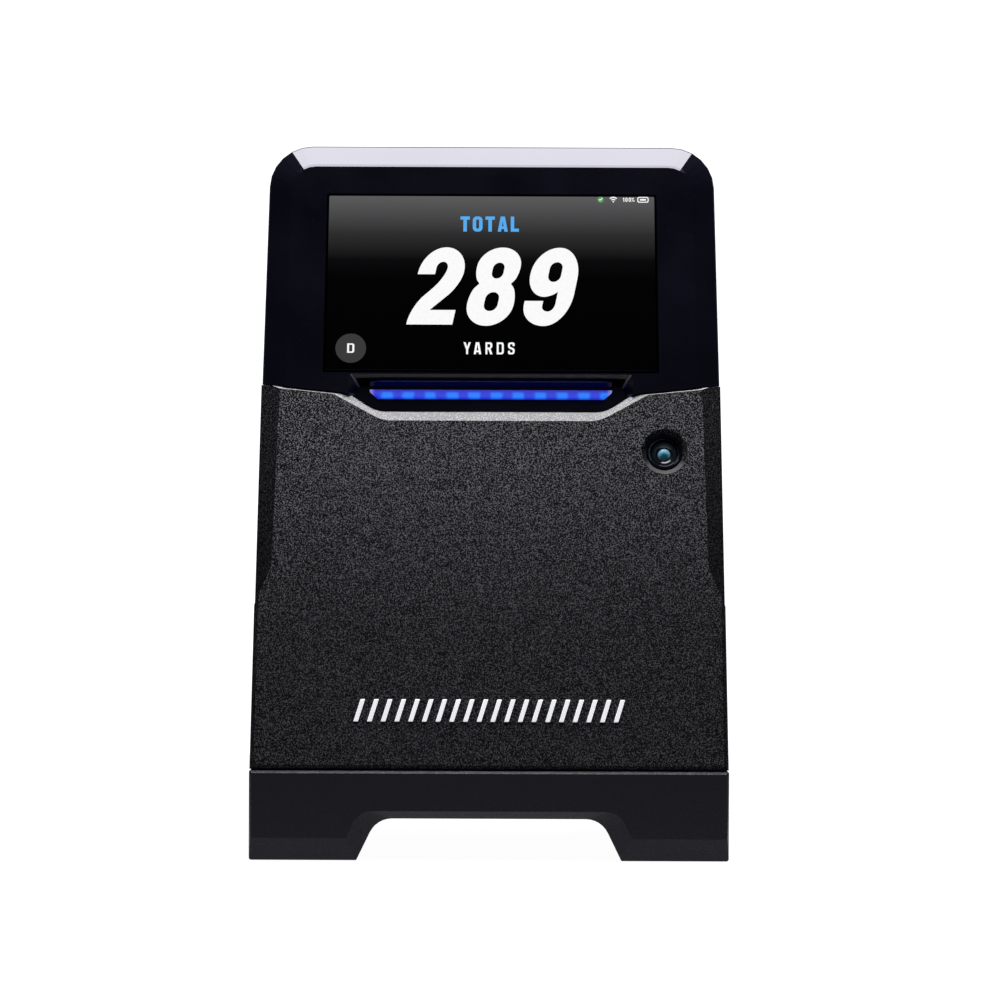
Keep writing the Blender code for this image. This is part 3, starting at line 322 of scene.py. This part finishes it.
def lens_coating(name, ring):
    """Teal coated glass over a dark iris, with a painted highlight that makes it paler towards its upper rim.
    """
    deep, pale, iris_tone = (0.020, 0.085, 0.120), (0.17, 0.44, 0.56), (0.010, 0.055, 0.085)
    iris_drop, iris_radius, iris_soft = 0.0012, 0.0012, 0.0008
    low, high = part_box(ring)
    centre = (low + high) / 2
    made, tree, shader, coords = start(name)
    # Painted highlight: the teal runs from deep at the foot to pale at the top.
    up = remap(tree, axis(tree, coords, "Z"), centre.z - 0.0030, centre.z + 0.0016)
    tone = mix(tree, up, rgb(deep), rgb(pale))
    away = distance(tree, coords, Vector((centre.x, centre.y, centre.z - iris_drop)))
    blur = calc(tree, "ADD", away, remap(tree, noise(tree, coords, 0.0008), 0.0, 1.0, -0.0004, 0.0004))
    outside = remap(tree, blur, iris_radius, iris_radius + iris_soft)
    tree.links.new(mix(tree, outside, rgb(iris_tone), tone), shader.inputs["Base Color"])
    shader.inputs["Roughness"].default_value = 0.08
    shader.inputs["Specular IOR Level"].default_value = 0.25
    return made


def board(name):
    """A green printed board with tracks under its solder resist."""
    made, tree, shader, coords = start(name)
    tracks = add(tree, "TexBrick", {"Vector": coords, "Scale": 260.0, "Mortar Size": 0.03})
    tracks.inputs["Color1"].default_value = rgb((0.006, 0.060, 0.025))
    tracks.inputs["Color2"].default_value = rgb((0.010, 0.085, 0.035))
    tracks.inputs["Mortar"].default_value = rgb((0.020, 0.130, 0.055))
    tree.links.new(tracks.outputs["Color"], shader.inputs["Base Color"])
    rough = remap(tree, noise(tree, coords, 0.006, 3.0), 0.3, 0.7, 0.25, 0.45)
    tree.links.new(rough, shader.inputs["Roughness"])
    return made


# ---- Mesh helpers ----------------------------------------------------------------------------------------
def bent(corner, before, after, cuts, steps):
    """A corner cut back by its own length along each edge, and joined by a quarter of an ellipse."""
    one = corner + before.normalized() * min(cuts[0], before.length * 0.999)
    two = corner + after.normalized() * min(cuts[1], after.length * 0.999)
    near, far = one.lerp(corner, QUARTER_HANDLE), two.lerp(corner, QUARTER_HANDLE)
    points = []
    for step in range(steps + 1):
        share = step / steps
        rest = 1 - share
        point = one * rest**3 + near * (3 * share * rest**2) + far * (3 * share**2 * rest) + two * share**3
        points.append((point.x, point.y))
    return points


def rounded(corners, steps=ARC_STEPS):
    """An outline from (x, y, radius) corners, with each corner turned into an arc. A pair of lengths in
    place of the radius makes part of an ellipse."""
    outline = []
    count = len(corners)
    for index, (x, y, radius) in enumerate(corners):
        corner = Vector((x, y))
        before = Vector(corners[index - 1][:2]) - corner
        after = Vector(corners[(index + 1) % count][:2]) - corner
        if isinstance(radius, tuple):
            outline += bent(corner, before, after, radius, 2 * steps)
            continue
        if radius <= 0.0:
            outline.append((x, y))
            continue
        half = before.angle(after) / 2
        cut = min(radius / math.tan(half), before.length * 0.499, after.length * 0.499)
        radius = cut * math.tan(half)
        one = corner + before.normalized() * cut
        two = corner + after.normalized() * cut
        centre = corner + (before.normalized() + after.normalized()).normalized() * (radius / math.sin(half))
        start_angle = math.atan2(one.y - centre.y, one.x - centre.x)
        turn = math.atan2(two.y - centre.y, two.x - centre.x) - start_angle
        turn = (turn + math.pi) % (2 * math.pi) - math.pi
        for step in range(steps + 1):
            angle = start_angle + turn * step / steps
            outline.append((centre.x + radius * math.cos(angle), centre.y + radius * math.sin(angle)))
    return outline


def box_loop(x0, y0, x1, y1, radius):
    """A rectangle's outline with rounded corners."""
    return rounded(((x0, y0, radius), (x1, y0, radius), (x1, y1, radius), (x0, y1, radius)))


def ring_loop(radius, x=0.0, y=0.0, steps=40, first=0.0, last=2 * math.pi):
    """A circle's outline, or an arc of it from the first angle to the last."""
    span = last - first
    count = steps if span >= 2 * math.pi - 1e-6 else steps + 1
    angles = [first + span * step / steps for step in range(count)]
    return [(x + radius * math.cos(angle), y + radius * math.sin(angle)) for angle in angles]


def slab(name, shapes, place, near, far, material):
    """A thin plate of filled outlines: shapes are lists of loops, an outer one and its holes."""
    vertices, faces = [], []
    for loops in shapes:
        flat = [[Vector((x, y, 0.0)) for x, y in loop] for loop in loops]
        points = [(point.x, point.y) for loop in flat for point in loop]
        triangles = mathutils.geometry.tessellate_polygon(flat)
        base = len(vertices)
        count = len(points)
        vertices += [place @ Vector((x, near, y)) for x, y in points]
        vertices += [place @ Vector((x, far, y)) for x, y in points]
        for a, b, c in triangles:
            area = (points[b][0] - points[a][0]) * (points[c][1] - points[a][1])
            area -= (points[c][0] - points[a][0]) * (points[b][1] - points[a][1])
            a, b, c = (a, b, c) if area > 0 else (a, c, b)
            faces.append((base + a, base + b, base + c))
            faces.append((base + count + c, base + count + b, base + count + a))
        first = 0
        for loop in loops:
            for step in range(len(loop)):
                a, b = first + step, first + (step + 1) % len(loop)
                faces.append((base + a, base + count + a, base + count + b, base + b))
            first += len(loop)
    return piece(name, vertices, faces, material)


def piece(name, vertices, faces, material, smooth=False):
    """An object from points and faces, with its faces turned outwards."""
    mesh = bpy.data.meshes.new(name)
    mesh.from_pydata([tuple(point) for point in vertices], [], faces)
    mesh.update()
    mesh.materials.append(material)
    for polygon in mesh.polygons:
        polygon.use_smooth = smooth
    made = bpy.data.objects.new(name, mesh)
    bpy.context.scene.collection.objects.link(made)
    set_normals(made)
    return made


def set_normals(made):
    """Turns every face of a closed piece outwards."""
    work = bmesh.new()
    work.from_mesh(made.data)
    bmesh.ops.recalc_face_normals(work, faces=work.faces)
    work.to_mesh(made.data)
    work.free()


def turned(name, profile, place, material, steps=64, smooth=True):
    """A closed ring or dome from (radius, height) points turned about the frame's Z."""
    vertices, faces, rows = [], [], []
    for radius, height in profile:
        if radius < 1e-9:
            rows.append([len(vertices)])
            vertices.append(place @ Vector((0.0, 0.0, height)))
            continue
        rows.append(list(range(len(vertices), len(vertices) + steps)))
        for step in range(steps):
            angle = 2 * math.pi * step / steps
            vertices.append(place @ Vector((radius * math.cos(angle), radius * math.sin(angle), height)))
    closed = len(rows[0]) > 1
    pairs = list(zip(rows, rows[1:])) + ([(rows[-1], rows[0])] if closed else [])
    for one, two in pairs:
        for step in range(steps):
            nxt = (step + 1) % steps
            corners = [one[step % len(one)], one[nxt % len(one)], two[nxt % len(two)], two[step % len(two)]]
            face = list(dict.fromkeys(corners))
            if len(face) > 2:
                faces.append(face)
    made = piece(name, vertices, faces, material, smooth)
    if smooth:
        made.data.set_sharp_from_angle(angle=math.radians(35))
    return made


class Face:
    """A frame on a node's biggest forward face: X right, Z up the face, Y into the body."""

    def __init__(self, node):
        mesh = NODES[node].data
        front = max((f for f in mesh.polygons if f.normal.y < -0.9), key=lambda f: f.area)
        self.slope = front.normal.z / -front.normal.y
        self.z0 = front.center.z
        self.y0 = front.center.y
        self.stretch = math.sqrt(1.0 + self.slope**2)
        lean = Matrix.Rotation(-math.atan(self.slope), 4, "X")
        self.place = Matrix.Translation((0.0, self.y0, self.z0)) @ lean

    def up(self, z):
        """The distance up the face to that height."""
        return (z - self.z0) * self.stretch


# ---- Lettering of plain outlines -------------------------------------------------------------------------
# Each glyph is its advance, then its loops of (x, y, corner radius) for a height of 1: an outer loop, then
# any holes. The small letter is a lighter capital, for the small word.
GLYPHS = {
    "T": (0.64, [[(0, 1, 0), (0, 0.79, 0), (0.2, 0.79, 0), (0.2, 0, 0), (0.44, 0, 0), (0.44, 0.79, 0),
                  (0.64, 0.79, 0), (0.64, 1, 0)]]),
    "O": (0.67, [[(0, 0, 0.26), (0.67, 0, 0.26), (0.67, 1, 0.26), (0, 1, 0.26)],
                 [(0.235, 0.19, 0.1), (0.435, 0.19, 0.1), (0.435, 0.81, 0.1), (0.235, 0.81, 0.1)]]),
    "A": (0.69, [[(0, 0, 0), (0.23, 0, 0), (0.262, 0.18, 0), (0.428, 0.18, 0), (0.46, 0, 0), (0.69, 0, 0),
                  (0.49, 1, 0), (0.2, 1, 0)],
                 [(0.292, 0.35, 0), (0.398, 0.35, 0), (0.345, 0.72, 0)]]),
    "L": (0.56, [[(0, 0, 0), (0.56, 0, 0), (0.56, 0.2, 0), (0.235, 0.2, 0), (0.235, 1, 0), (0, 1, 0)]]),
    "Y": (0.53, [[(0.235, 0, 0), (0.405, 0, 0), (0.405, 0.38, 0), (0.64, 1, 0), (0.455, 1, 0), (0.32, 0.6, 0),
                  (0.185, 1, 0), (0, 1, 0), (0.235, 0.38, 0)]]),
    "a": (0.66, [[(0, 0, 0), (0.19, 0, 0), (0.222, 0.17, 0), (0.438, 0.17, 0), (0.47, 0, 0), (0.66, 0, 0),
                  (0.48, 1, 0), (0.18, 1, 0)],
                 [(0.248, 0.32, 0), (0.412, 0.32, 0), (0.345, 0.76, 0), (0.315, 0.76, 0)]]),
    "R": (0.62, [[(0, 0, 0), (0.17, 0, 0), (0.17, 0.42, 0), (0.25, 0.42, 0), (0.42, 0, 0), (0.62, 0, 0),
                  (0.44, 0.46, 0.04), (0.6, 0.6, 0.12), (0.6, 1, 0.22), (0, 1, 0)],
                 [(0.17, 0.56, 0), (0.42, 0.56, 0.09), (0.42, 0.86, 0.09), (0.17, 0.86, 0)]]),
    "D": (0.62, [[(0, 0, 0), (0.62, 0, 0.2), (0.62, 1, 0.2), (0, 1, 0)],
                 [(0.17, 0.14, 0), (0.45, 0.14, 0.09), (0.45, 0.86, 0.09), (0.17, 0.86, 0)]]),
    "S": (0.58, [[(0, 0.3, 0), (0, 0, 0.22), (0.58, 0, 0.22), (0.58, 0.47, 0.2), (0.17, 0.64, 0.06),
                  (0.17, 0.86, 0.08), (0.41, 0.86, 0.08), (0.41, 0.7, 0), (0.58, 0.7, 0), (0.58, 1, 0.22),
                  (0, 1, 0.22), (0, 0.53, 0.2), (0.41, 0.36, 0.06), (0.41, 0.14, 0.08), (0.17, 0.14, 0.08),
                  (0.17, 0.3, 0)]]),
    "1": (0.38, [[(0.15, 0, 0), (0.38, 0, 0), (0.38, 1, 0), (0.2, 1, 0), (0, 0.84, 0), (0, 0.64, 0),
                  (0.15, 0.74, 0)]]),
    "0": (0.64, [[(0, 0, 0.3), (0.64, 0, 0.3), (0.64, 1, 0.3), (0, 1, 0.3)],
                 [(0.22, 0.18, 0.1), (0.42, 0.18, 0.1), (0.42, 0.82, 0.1), (0.22, 0.82, 0.1)]]),
    "2": (0.593, [[(0, 0, 0), (0.593, 0, 0), (0.593, 0.187, 0), (0.257, 0.187, 0), (0.593, 0.52, (0.2, 0.16)),
                   (0.593, 1, (0.31, 0.296)), (0, 1, (0.296, 0.34)), (0, 0.65, 0), (0.224, 0.65, 0),
                   (0.224, 0.813, (0.08, 0.074)), (0.37, 0.813, (0.074, 0.08)), (0.37, 0.61, (0.12, 0.2)),
                   (0, 0.22, (0.2, 0.2))]]),
    "8": (0.603, [[(0, -0.014, (0.28, 0.301)), (0.603, -0.014, (0.301, 0.28)), (0.603, 0.42, (0.15, 0.08)),
                   (0.508, 0.53, 0.01), (0.588, 0.62, (0.07, 0.12)), (0.588, 1.0, (0.25, 0.283)),
                   (0.022, 1.0, (0.283, 0.25)), (0.022, 0.62, (0.12, 0.07)), (0.102, 0.53, 0.01),
                   (0, 0.42, (0.08, 0.15))],
                  [(0.219, 0.176, 0.085), (0.396, 0.176, 0.085), (0.396, 0.42, 0.085), (0.219, 0.42, 0.085)],
                  [(0.232, 0.596, 0.075), (0.382, 0.596, 0.075), (0.382, 0.804, 0.075),
                   (0.232, 0.804, 0.075)]]),
    "9": (0.62, [[(0, -0.014, (0.27, 0.309)), (0.62, -0.014, (0.309, 0.42)), (0.62, 1.0, (0.40, 0.309)),
                  (0, 1.0, (0.309, 0.34)), (0, 0.362, (0.28, 0.24)), (0.33, 0.362, (0.1, 0.08)),
                  (0.404, 0.43, 0), (0.404, 0.172, (0.1, 0.08)), (0.239, 0.172, (0.08, 0.07)),
                  (0.239, 0.308, 0), (0, 0.308, 0)],
                 [(0.235, 0.555, 0.085), (0.4, 0.555, 0.085), (0.4, 0.812, 0.085), (0.235, 0.812, 0.085)]]),
}
SLASH = [(0.02, 0), (0.16, 0), (0.66, 1), (0.52, 1)]


def write(text, x, low, height, width=1.0, gap=0.2, slant=0.0):
    """Outlines of a word that starts at x, on a baseline, in one face's own coordinates."""
    shapes = []
    for letter in text:
        advance, loops = GLYPHS[letter]
        scaled_loops = [
            [(x + height * width * (px + slant * py), low + height * py) for px, py in rounded(loop)]
            for loop in loops
        ]
        shapes.append(scaled_loops)
        x += height * width * (advance + gap)
    return shapes


def word_width(text, height, width=1.0, gap=0.2):
    """The length of a word, without a gap after it."""
    return height * width * (sum(GLYPHS[letter][0] for letter in text) + gap * (len(text) - 1))


# ---- Finishes --------------------------------------------------------------------------------------------
window_low, window_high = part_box("display_window")
camera_low, camera_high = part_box("camera_bezel")
POCKET_HALF_X, POCKET_TOP_Z = 0.0528, 0.1690
LEG_RIBS = (0.0020, 0.0830, 0.0930, 0.0004)
DOOR_RIBS = (0.0012, 0.1370, 0.1415, 0.0003)
# shade: the share of the tone painted as highlight on grain crests and as shade in grain pits.
MOULDED = {"grain": 0.00043, "depth": 0.00007, "shade": 1.0, "patch": 0.06, "rough_spread": 0.02}
SATIN = {"grain": 0.0005, "depth": 0.00004, "wear": 0.10}
RUBBER = {"grain": 0.0007, "depth": 0.00006, "shade": 0.3, "dust": 0.05}
MACHINED = {"metallic": 1.0, "grain": 0.0006, "depth": 0.00002}
LOOKS = {
    "gloss_black": finish("gloss_black", (0.0013, 0.0013, 0.0025), 0.06, rough_spread=0.006, patch=0.6,
                          dust=0.008, tint=(0.86, 0.86, 1.0), matt_below=(POCKET_HALF_X, POCKET_TOP_Z)),
    "grained_black": finish("grained_black", (0.0300, 0.0300, 0.0325), 0.42, specular=0.12, **MOULDED),
    "satin_black": finish("satin_black", (0.0030, 0.0030, 0.0036), 0.38, shade=0.2, **SATIN),
    "black_rubber": finish("black_rubber", (0.0070, 0.0070, 0.0075), 0.68, **RUBBER),
    "coated_lens": lens_coating("coated_lens", "camera_bezel"),
    # The badge chrome's lift is a painted glow standing in for reflected light.
    "bright_chrome": finish("bright_chrome", (0.93, 0.93, 0.94), 0.40, metallic=0.15, patch=0.04,
                            rough_spread=0.05, painted_glow=0.32),
    "plain_steel": finish("plain_steel", (0.42, 0.42, 0.43), 0.30, wear=0.1, **MACHINED),
    "aluminium": finish("aluminium", (0.60, 0.61, 0.62), 0.34, **MACHINED),
    "battery_wrap": finish("battery_wrap", (0.020, 0.040, 0.110), 0.30, patch=0.2),
    "amber_flex": finish("amber_flex", (0.32, 0.14, 0.02), 0.34, patch=0.2),
    "green_board": board("green_board"),
    "dark_glass": screen_glass("dark_glass", window_low.z, window_high.z),
    "blue_diffuser": light_pipe("blue_diffuser", "light_bar"),
}
for node in NODES.values():
    for material_slot in node.material_slots:
        material_slot.material = LOOKS[material_slot.material.name.split(".")[0]]
# The cover's crown is a painted highlight on faces that look up, with painted shade kept in the camera's
# hollow.
COVER_BLACK = finish("cover_black", (0.0230, 0.0230, 0.0252), 0.42, specular=0.07, painted_top_light=0.235,
                     painted_shade_spot=(camera_low + camera_high) / 2, **MOULDED)
BASE_BLACK = finish("base_black", (0.0016, 0.0016, 0.0022), 0.40, grain=0.0006, depth=0.00003, shade=0.5,
                    patch=0.06, rough_spread=0.03, specular=0.27, tint=(0.88, 0.86, 1.0))
LEG_BLACK = finish("leg_black", (0.0070, 0.0070, 0.0078), 0.36, shade=0.3, ribs=LEG_RIBS, **SATIN)
DOOR_BLACK = finish("door_black", (0.0080, 0.0080, 0.0085), 0.60, ribs=DOOR_RIBS, **RUBBER)
for node_name, look in (
    ("base_frame", BASE_BLACK),
    ("front_cover", COVER_BLACK),
    ("tilt_leg", LEG_BLACK),
    ("port_door", DOOR_BLACK),
):
    NODES[node_name].material_slots[0].material = look
LENS_BLACK = finish("lens_black", (0.004, 0.004, 0.005), 0.18, rough_spread=0.04)
BORDER_BLACK = finish("border_black", (0.0001, 0.0001, 0.0001), 0.12, specular=0.0)

# ---- Screen graphics -------------------------------------------------------------------------------------
SCREEN = Face("display_window")
WHITE = glow("lit_white", (0.97, 0.97, 0.97), 1.0)
BLUE = glow("lit_blue", (0.080, 0.400, 0.860), 1.0)
GREY = glow("lit_grey", (0.027, 0.027, 0.027), 1.0)
GREEN = glow("lit_green", (0.075, 0.33, 0.085), 1.0)
NEAR, FAR = -0.00008, -0.00001
TOP_NEAR, TOP_FAR = NEAR - 0.00006, NEAR - 0.00001


def show(name, shapes, material, near=NEAR, far=FAR):
    """Lit outlines, a hair in front of the window."""
    made = slab(name, shapes, SCREEN.place, near, far, material)
    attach(made, HOUSING)
    return made


def centred(text, x, low_z, height, width, gap):
    """A word about a middle, with its baseline at a height."""
    left = x - word_width(text, height, width, gap) / 2
    return write(text, left, SCREEN.up(low_z), height, width, gap)


show("screen_number", write("289", -0.0303, SCREEN.up(0.1868), 0.0293, 0.945, 0.132, 0.215), WHITE)
show("screen_caption", centred("TOTAL", -0.0007, 0.2211, 0.0058, 0.91, 0.20), BLUE)
show("screen_unit", centred("YaRDS", -0.0007, 0.17608, 0.00445, 0.91, 0.37), WHITE)

disc_x, disc_z, disc_radius = -0.0499, SCREEN.up(0.1781), 0.00546
letter_height, letter_width = 0.0035, 1.18
letter_left = disc_x - word_width("D", letter_height, letter_width) / 2
show("screen_disc", [[ring_loop(disc_radius, disc_x, disc_z)]], GREY)
letter = write("D", letter_left, disc_z - letter_height / 2, letter_height, letter_width)
show("screen_disc_letter", letter, WHITE, TOP_NEAR, TOP_FAR)

border, face_gap, border_thick = 0.0008, -0.00021, 0.00006
glass_low, glass_high = SCREEN.up(window_low.z), SCREEN.up(window_high.z)
inner = box_loop(window_low.x, glass_low, window_high.x, glass_high, 0.0003)
outer = box_loop(window_low.x - border, glass_low - border,
                 window_high.x + border, glass_high + border, 0.0006)
show("screen_border", [[outer, inner]], BORDER_BLACK, face_gap - border_thick, face_gap)

# The status row: a tick on a dot, signal arcs, the charge in per cent, and a battery.
status_z = SCREEN.up(0.2332)
show("screen_ready_dot", [[ring_loop(0.00115, 0.0394, status_z)]], GREEN)
tick = ((0.03872, -0.00002), (0.03920, -0.00055), (0.04018, 0.00050), (0.03994, 0.00074), (0.03919, -0.00007),
        (0.03894, 0.00020))
show("screen_ready_tick", [[[(x, status_z + y) for x, y in tick]]], WHITE, TOP_NEAR, TOP_FAR)

row_foot = status_z - 0.0008
signal_x, dot_radius, arc_stroke = 0.0440, 0.00026, 0.00042
first_angle, last_angle = math.radians(44), math.radians(136)
arcs = [[ring_loop(dot_radius, signal_x, row_foot, 14)]]
for outer_radius in (0.00112, 0.00192):
    arc = ring_loop(outer_radius, signal_x, row_foot, 12, first_angle, last_angle)
    arc += ring_loop(outer_radius - arc_stroke, signal_x, row_foot, 12, first_angle, last_angle)[::-1]
    arcs.append([arc])
show("screen_signal", arcs, WHITE)

figure_height, sign_left, sign_width = 0.0016, 0.0506, 0.0014
percent = write("100", 0.0475, row_foot, figure_height, 0.80, 0.30)
percent.append([[(sign_left + sign_width * px, row_foot + figure_height * py) for px, py in SLASH]])
for px, py in ((0.00025, 0.00045), (0.00085, -0.00045)):
    dot_x, dot_z = sign_left + px, status_z + py
    percent.append([ring_loop(0.00027, dot_x, dot_z, 12), ring_loop(0.00012, dot_x, dot_z, 8)])
show("screen_charge_number", percent, WHITE)

outer = box_loop(0.0527, status_z - 0.0011, 0.0568, status_z + 0.0011, 0.0007)
inner = box_loop(0.05305, status_z - 0.00078, 0.05645, status_z + 0.00078, 0.0005)
level = box_loop(0.05365, status_z - 0.00032, 0.05585, status_z + 0.00032, 0.00015)
show("screen_charge", [[outer, inner], [level]], WHITE)

# ---- Badge: plain slanted bars on a thin carrier ---------------------------------------------------------
BODY = Face("front_cover")
carrier_grow, carrier_thick = 0.0003, 0.00060
bar_count, bar_width, bar_slant, bar_margin = 20, 0.0016, 0.0024, 0.0014
bar_near, bar_far, bar_rounding = -0.0007, -0.0001, 0.00016
low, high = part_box("front_badge")
foot, head = BODY.up(low.z), BODY.up(high.z)
strip = box_loop(low.x - carrier_grow, foot - carrier_grow, high.x + carrier_grow, head + carrier_grow, 0.0)
carrier = slab("badge_carrier", [[strip]], BODY.place, 0.0, carrier_thick, COVER_BLACK)
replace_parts(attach(carrier, HOUSING), "front_badge")

foot, head, half = foot + bar_margin, head - bar_margin, high.x - bar_margin
pitch = (2 * half - bar_width - bar_slant) / (bar_count - 1)
bars = []
for index in range(bar_count):
    left = index * pitch - half
    right = left + bar_width
    bars.append([[(left, foot), (right, foot), (right + bar_slant, head), (left + bar_slant, head)]])
raised = slab("badge_bars", bars, BODY.place, bar_near, bar_far, LOOKS["bright_chrome"])
rounding = raised.modifiers.new("edges", "BEVEL")
rounding.width = bar_rounding
rounding.segments = 2
rounding.limit_method = "ANGLE"
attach(raised, HOUSING)

# ---- Camera glass: a stepped black baffle with a small domed element in it -------------------------------
depth = 0.0026
dome_radius, dome_rise, dome_rim, dome_back = 0.0023, 0.0010, 0.00115, 0.00118
dome_steps, dome_step_angle = 10, math.radians(8.5)
low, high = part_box("camera_window")
lens_x, lens_z = (low.x + high.x) / 2, (low.z + high.z) / 2
lens_radius = (high.x - low.x) / 2
tilt = Matrix.Rotation(math.pi / 2, 4, "X")
lens_place = BODY.place @ Matrix.Translation((lens_x, 0.0, BODY.up(lens_z))) @ tilt
baffle_profile = (
    (lens_radius, -depth),
    (lens_radius, -depth - 0.0016),
    (0.0020, -depth - 0.0016),
    (0.0020, -depth - 0.0011),
    (0.0027, -depth - 0.0010),
    (0.0035, -depth - 0.0004),
    (0.0036, -depth - 0.0001),
    (0.0037, -depth),
)
baffle = turned("camera_baffle", baffle_profile, lens_place, LENS_BLACK)
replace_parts(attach(baffle, HOUSING), "camera_window")
dome_profile = [(0.0, dome_rise - depth - dome_rim)]
for step in range(1, dome_steps + 1):
    angle = dome_step_angle * step
    dome_profile.append((dome_radius * math.sin(angle), -depth - dome_rim + dome_rise * math.cos(angle)))
dome_profile += [(dome_radius, -depth - dome_back), (0.0, -depth - dome_back)]
element = turned("camera_front_element", dome_profile, lens_place, LOOKS["coated_lens"])
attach(element, HOUSING)


# ---- Studio ----------------------------------------------------------------------------------------------
FLOOR_RADIUS, FLOOR_GREY, FLOOR_GLOW = 0.30, 0.06, 16.2
BACKDROP_RADIUS, BACKDROP_GLOW = 5.8, 1.2
WORLD_COLOUR, WORLD_STRENGTH = (0.58, 0.58, 1.0), 0.07
CAMERA_PLACE, CAMERA_LENS, CAMERA_ROLL = (0.0034, -0.797, 0.1243), 79.45, -0.22


def studio_material(name, grey, strength):
    """A plain surface that glows evenly."""
    made, _, shader, _ = start(name)
    shader.inputs["Base Color"].default_value = rgb((grey,) * 3)
    shader.inputs["Roughness"].default_value = 0.7
    shader.inputs["Emission Color"].default_value = rgb((grey,) * 3)
    shader.inputs["Emission Strength"].default_value = strength
    return made


def softbox(name, place, aim, size_x, size_y, power, colour=(1, 1, 1)):
    """A rectangular light, turned towards a point."""
    light = bpy.data.lights.new(name, "AREA")
    light.shape = "RECTANGLE"
    light.size = size_x
    light.size_y = size_y
    light.energy = power
    light.color = colour
    made = bpy.data.objects.new(name, light)
    made.location = place
    made.rotation_euler = (Vector(aim) - Vector(place)).to_track_quat("-Z", "Y").to_euler()
    bpy.context.scene.collection.objects.link(made)


bpy.ops.mesh.primitive_circle_add(vertices=96, radius=FLOOR_RADIUS, fill_type="NGON", location=(0, 0, 0))
floor = bpy.context.object
floor.name = "studio_floor"
floor.data.materials.append(studio_material("floor_white", FLOOR_GREY, FLOOR_GLOW))
floor.visible_diffuse = False
bpy.ops.mesh.primitive_uv_sphere_add(radius=BACKDROP_RADIUS, segments=48, ring_count=24)
sky = bpy.context.object
sky.name = "studio_backdrop"
sky.data.materials.append(studio_material("backdrop_white", 1.0, BACKDROP_GLOW))
sky.visible_diffuse = False
sky.visible_glossy = False
sky.visible_transmission = False
sky.visible_shadow = False

softbox("overhead_softbox", (0.0, -0.06, 0.50), (0.0, -0.06, 0.0), 0.36, 0.42, 6.4, (1.0, 0.985, 0.99))
softbox("rear_fill", (1.3, 1.2, 0.9), (0.0, 0.0, 0.12), 1.2, 0.8, 12.0)

world = bpy.data.worlds.new("studio_world")
world.use_nodes = True
world.node_tree.nodes["Background"].inputs["Color"].default_value = rgb(WORLD_COLOUR)
world.node_tree.nodes["Background"].inputs["Strength"].default_value = WORLD_STRENGTH
bpy.context.scene.world = world
bpy.context.scene.view_settings.view_transform = "Standard"

lens = bpy.data.cameras.new("studio_camera")
lens.lens = CAMERA_LENS
lens.sensor_width = 36.0
lens.clip_start = 0.05
lens.clip_end = 50.0
camera = bpy.data.objects.new("studio_camera", lens)
camera.location = CAMERA_PLACE
camera.rotation_euler = (math.radians(90.0), math.radians(CAMERA_ROLL), 0.0)
bpy.context.scene.collection.objects.link(camera)
bpy.context.scene.camera = camera
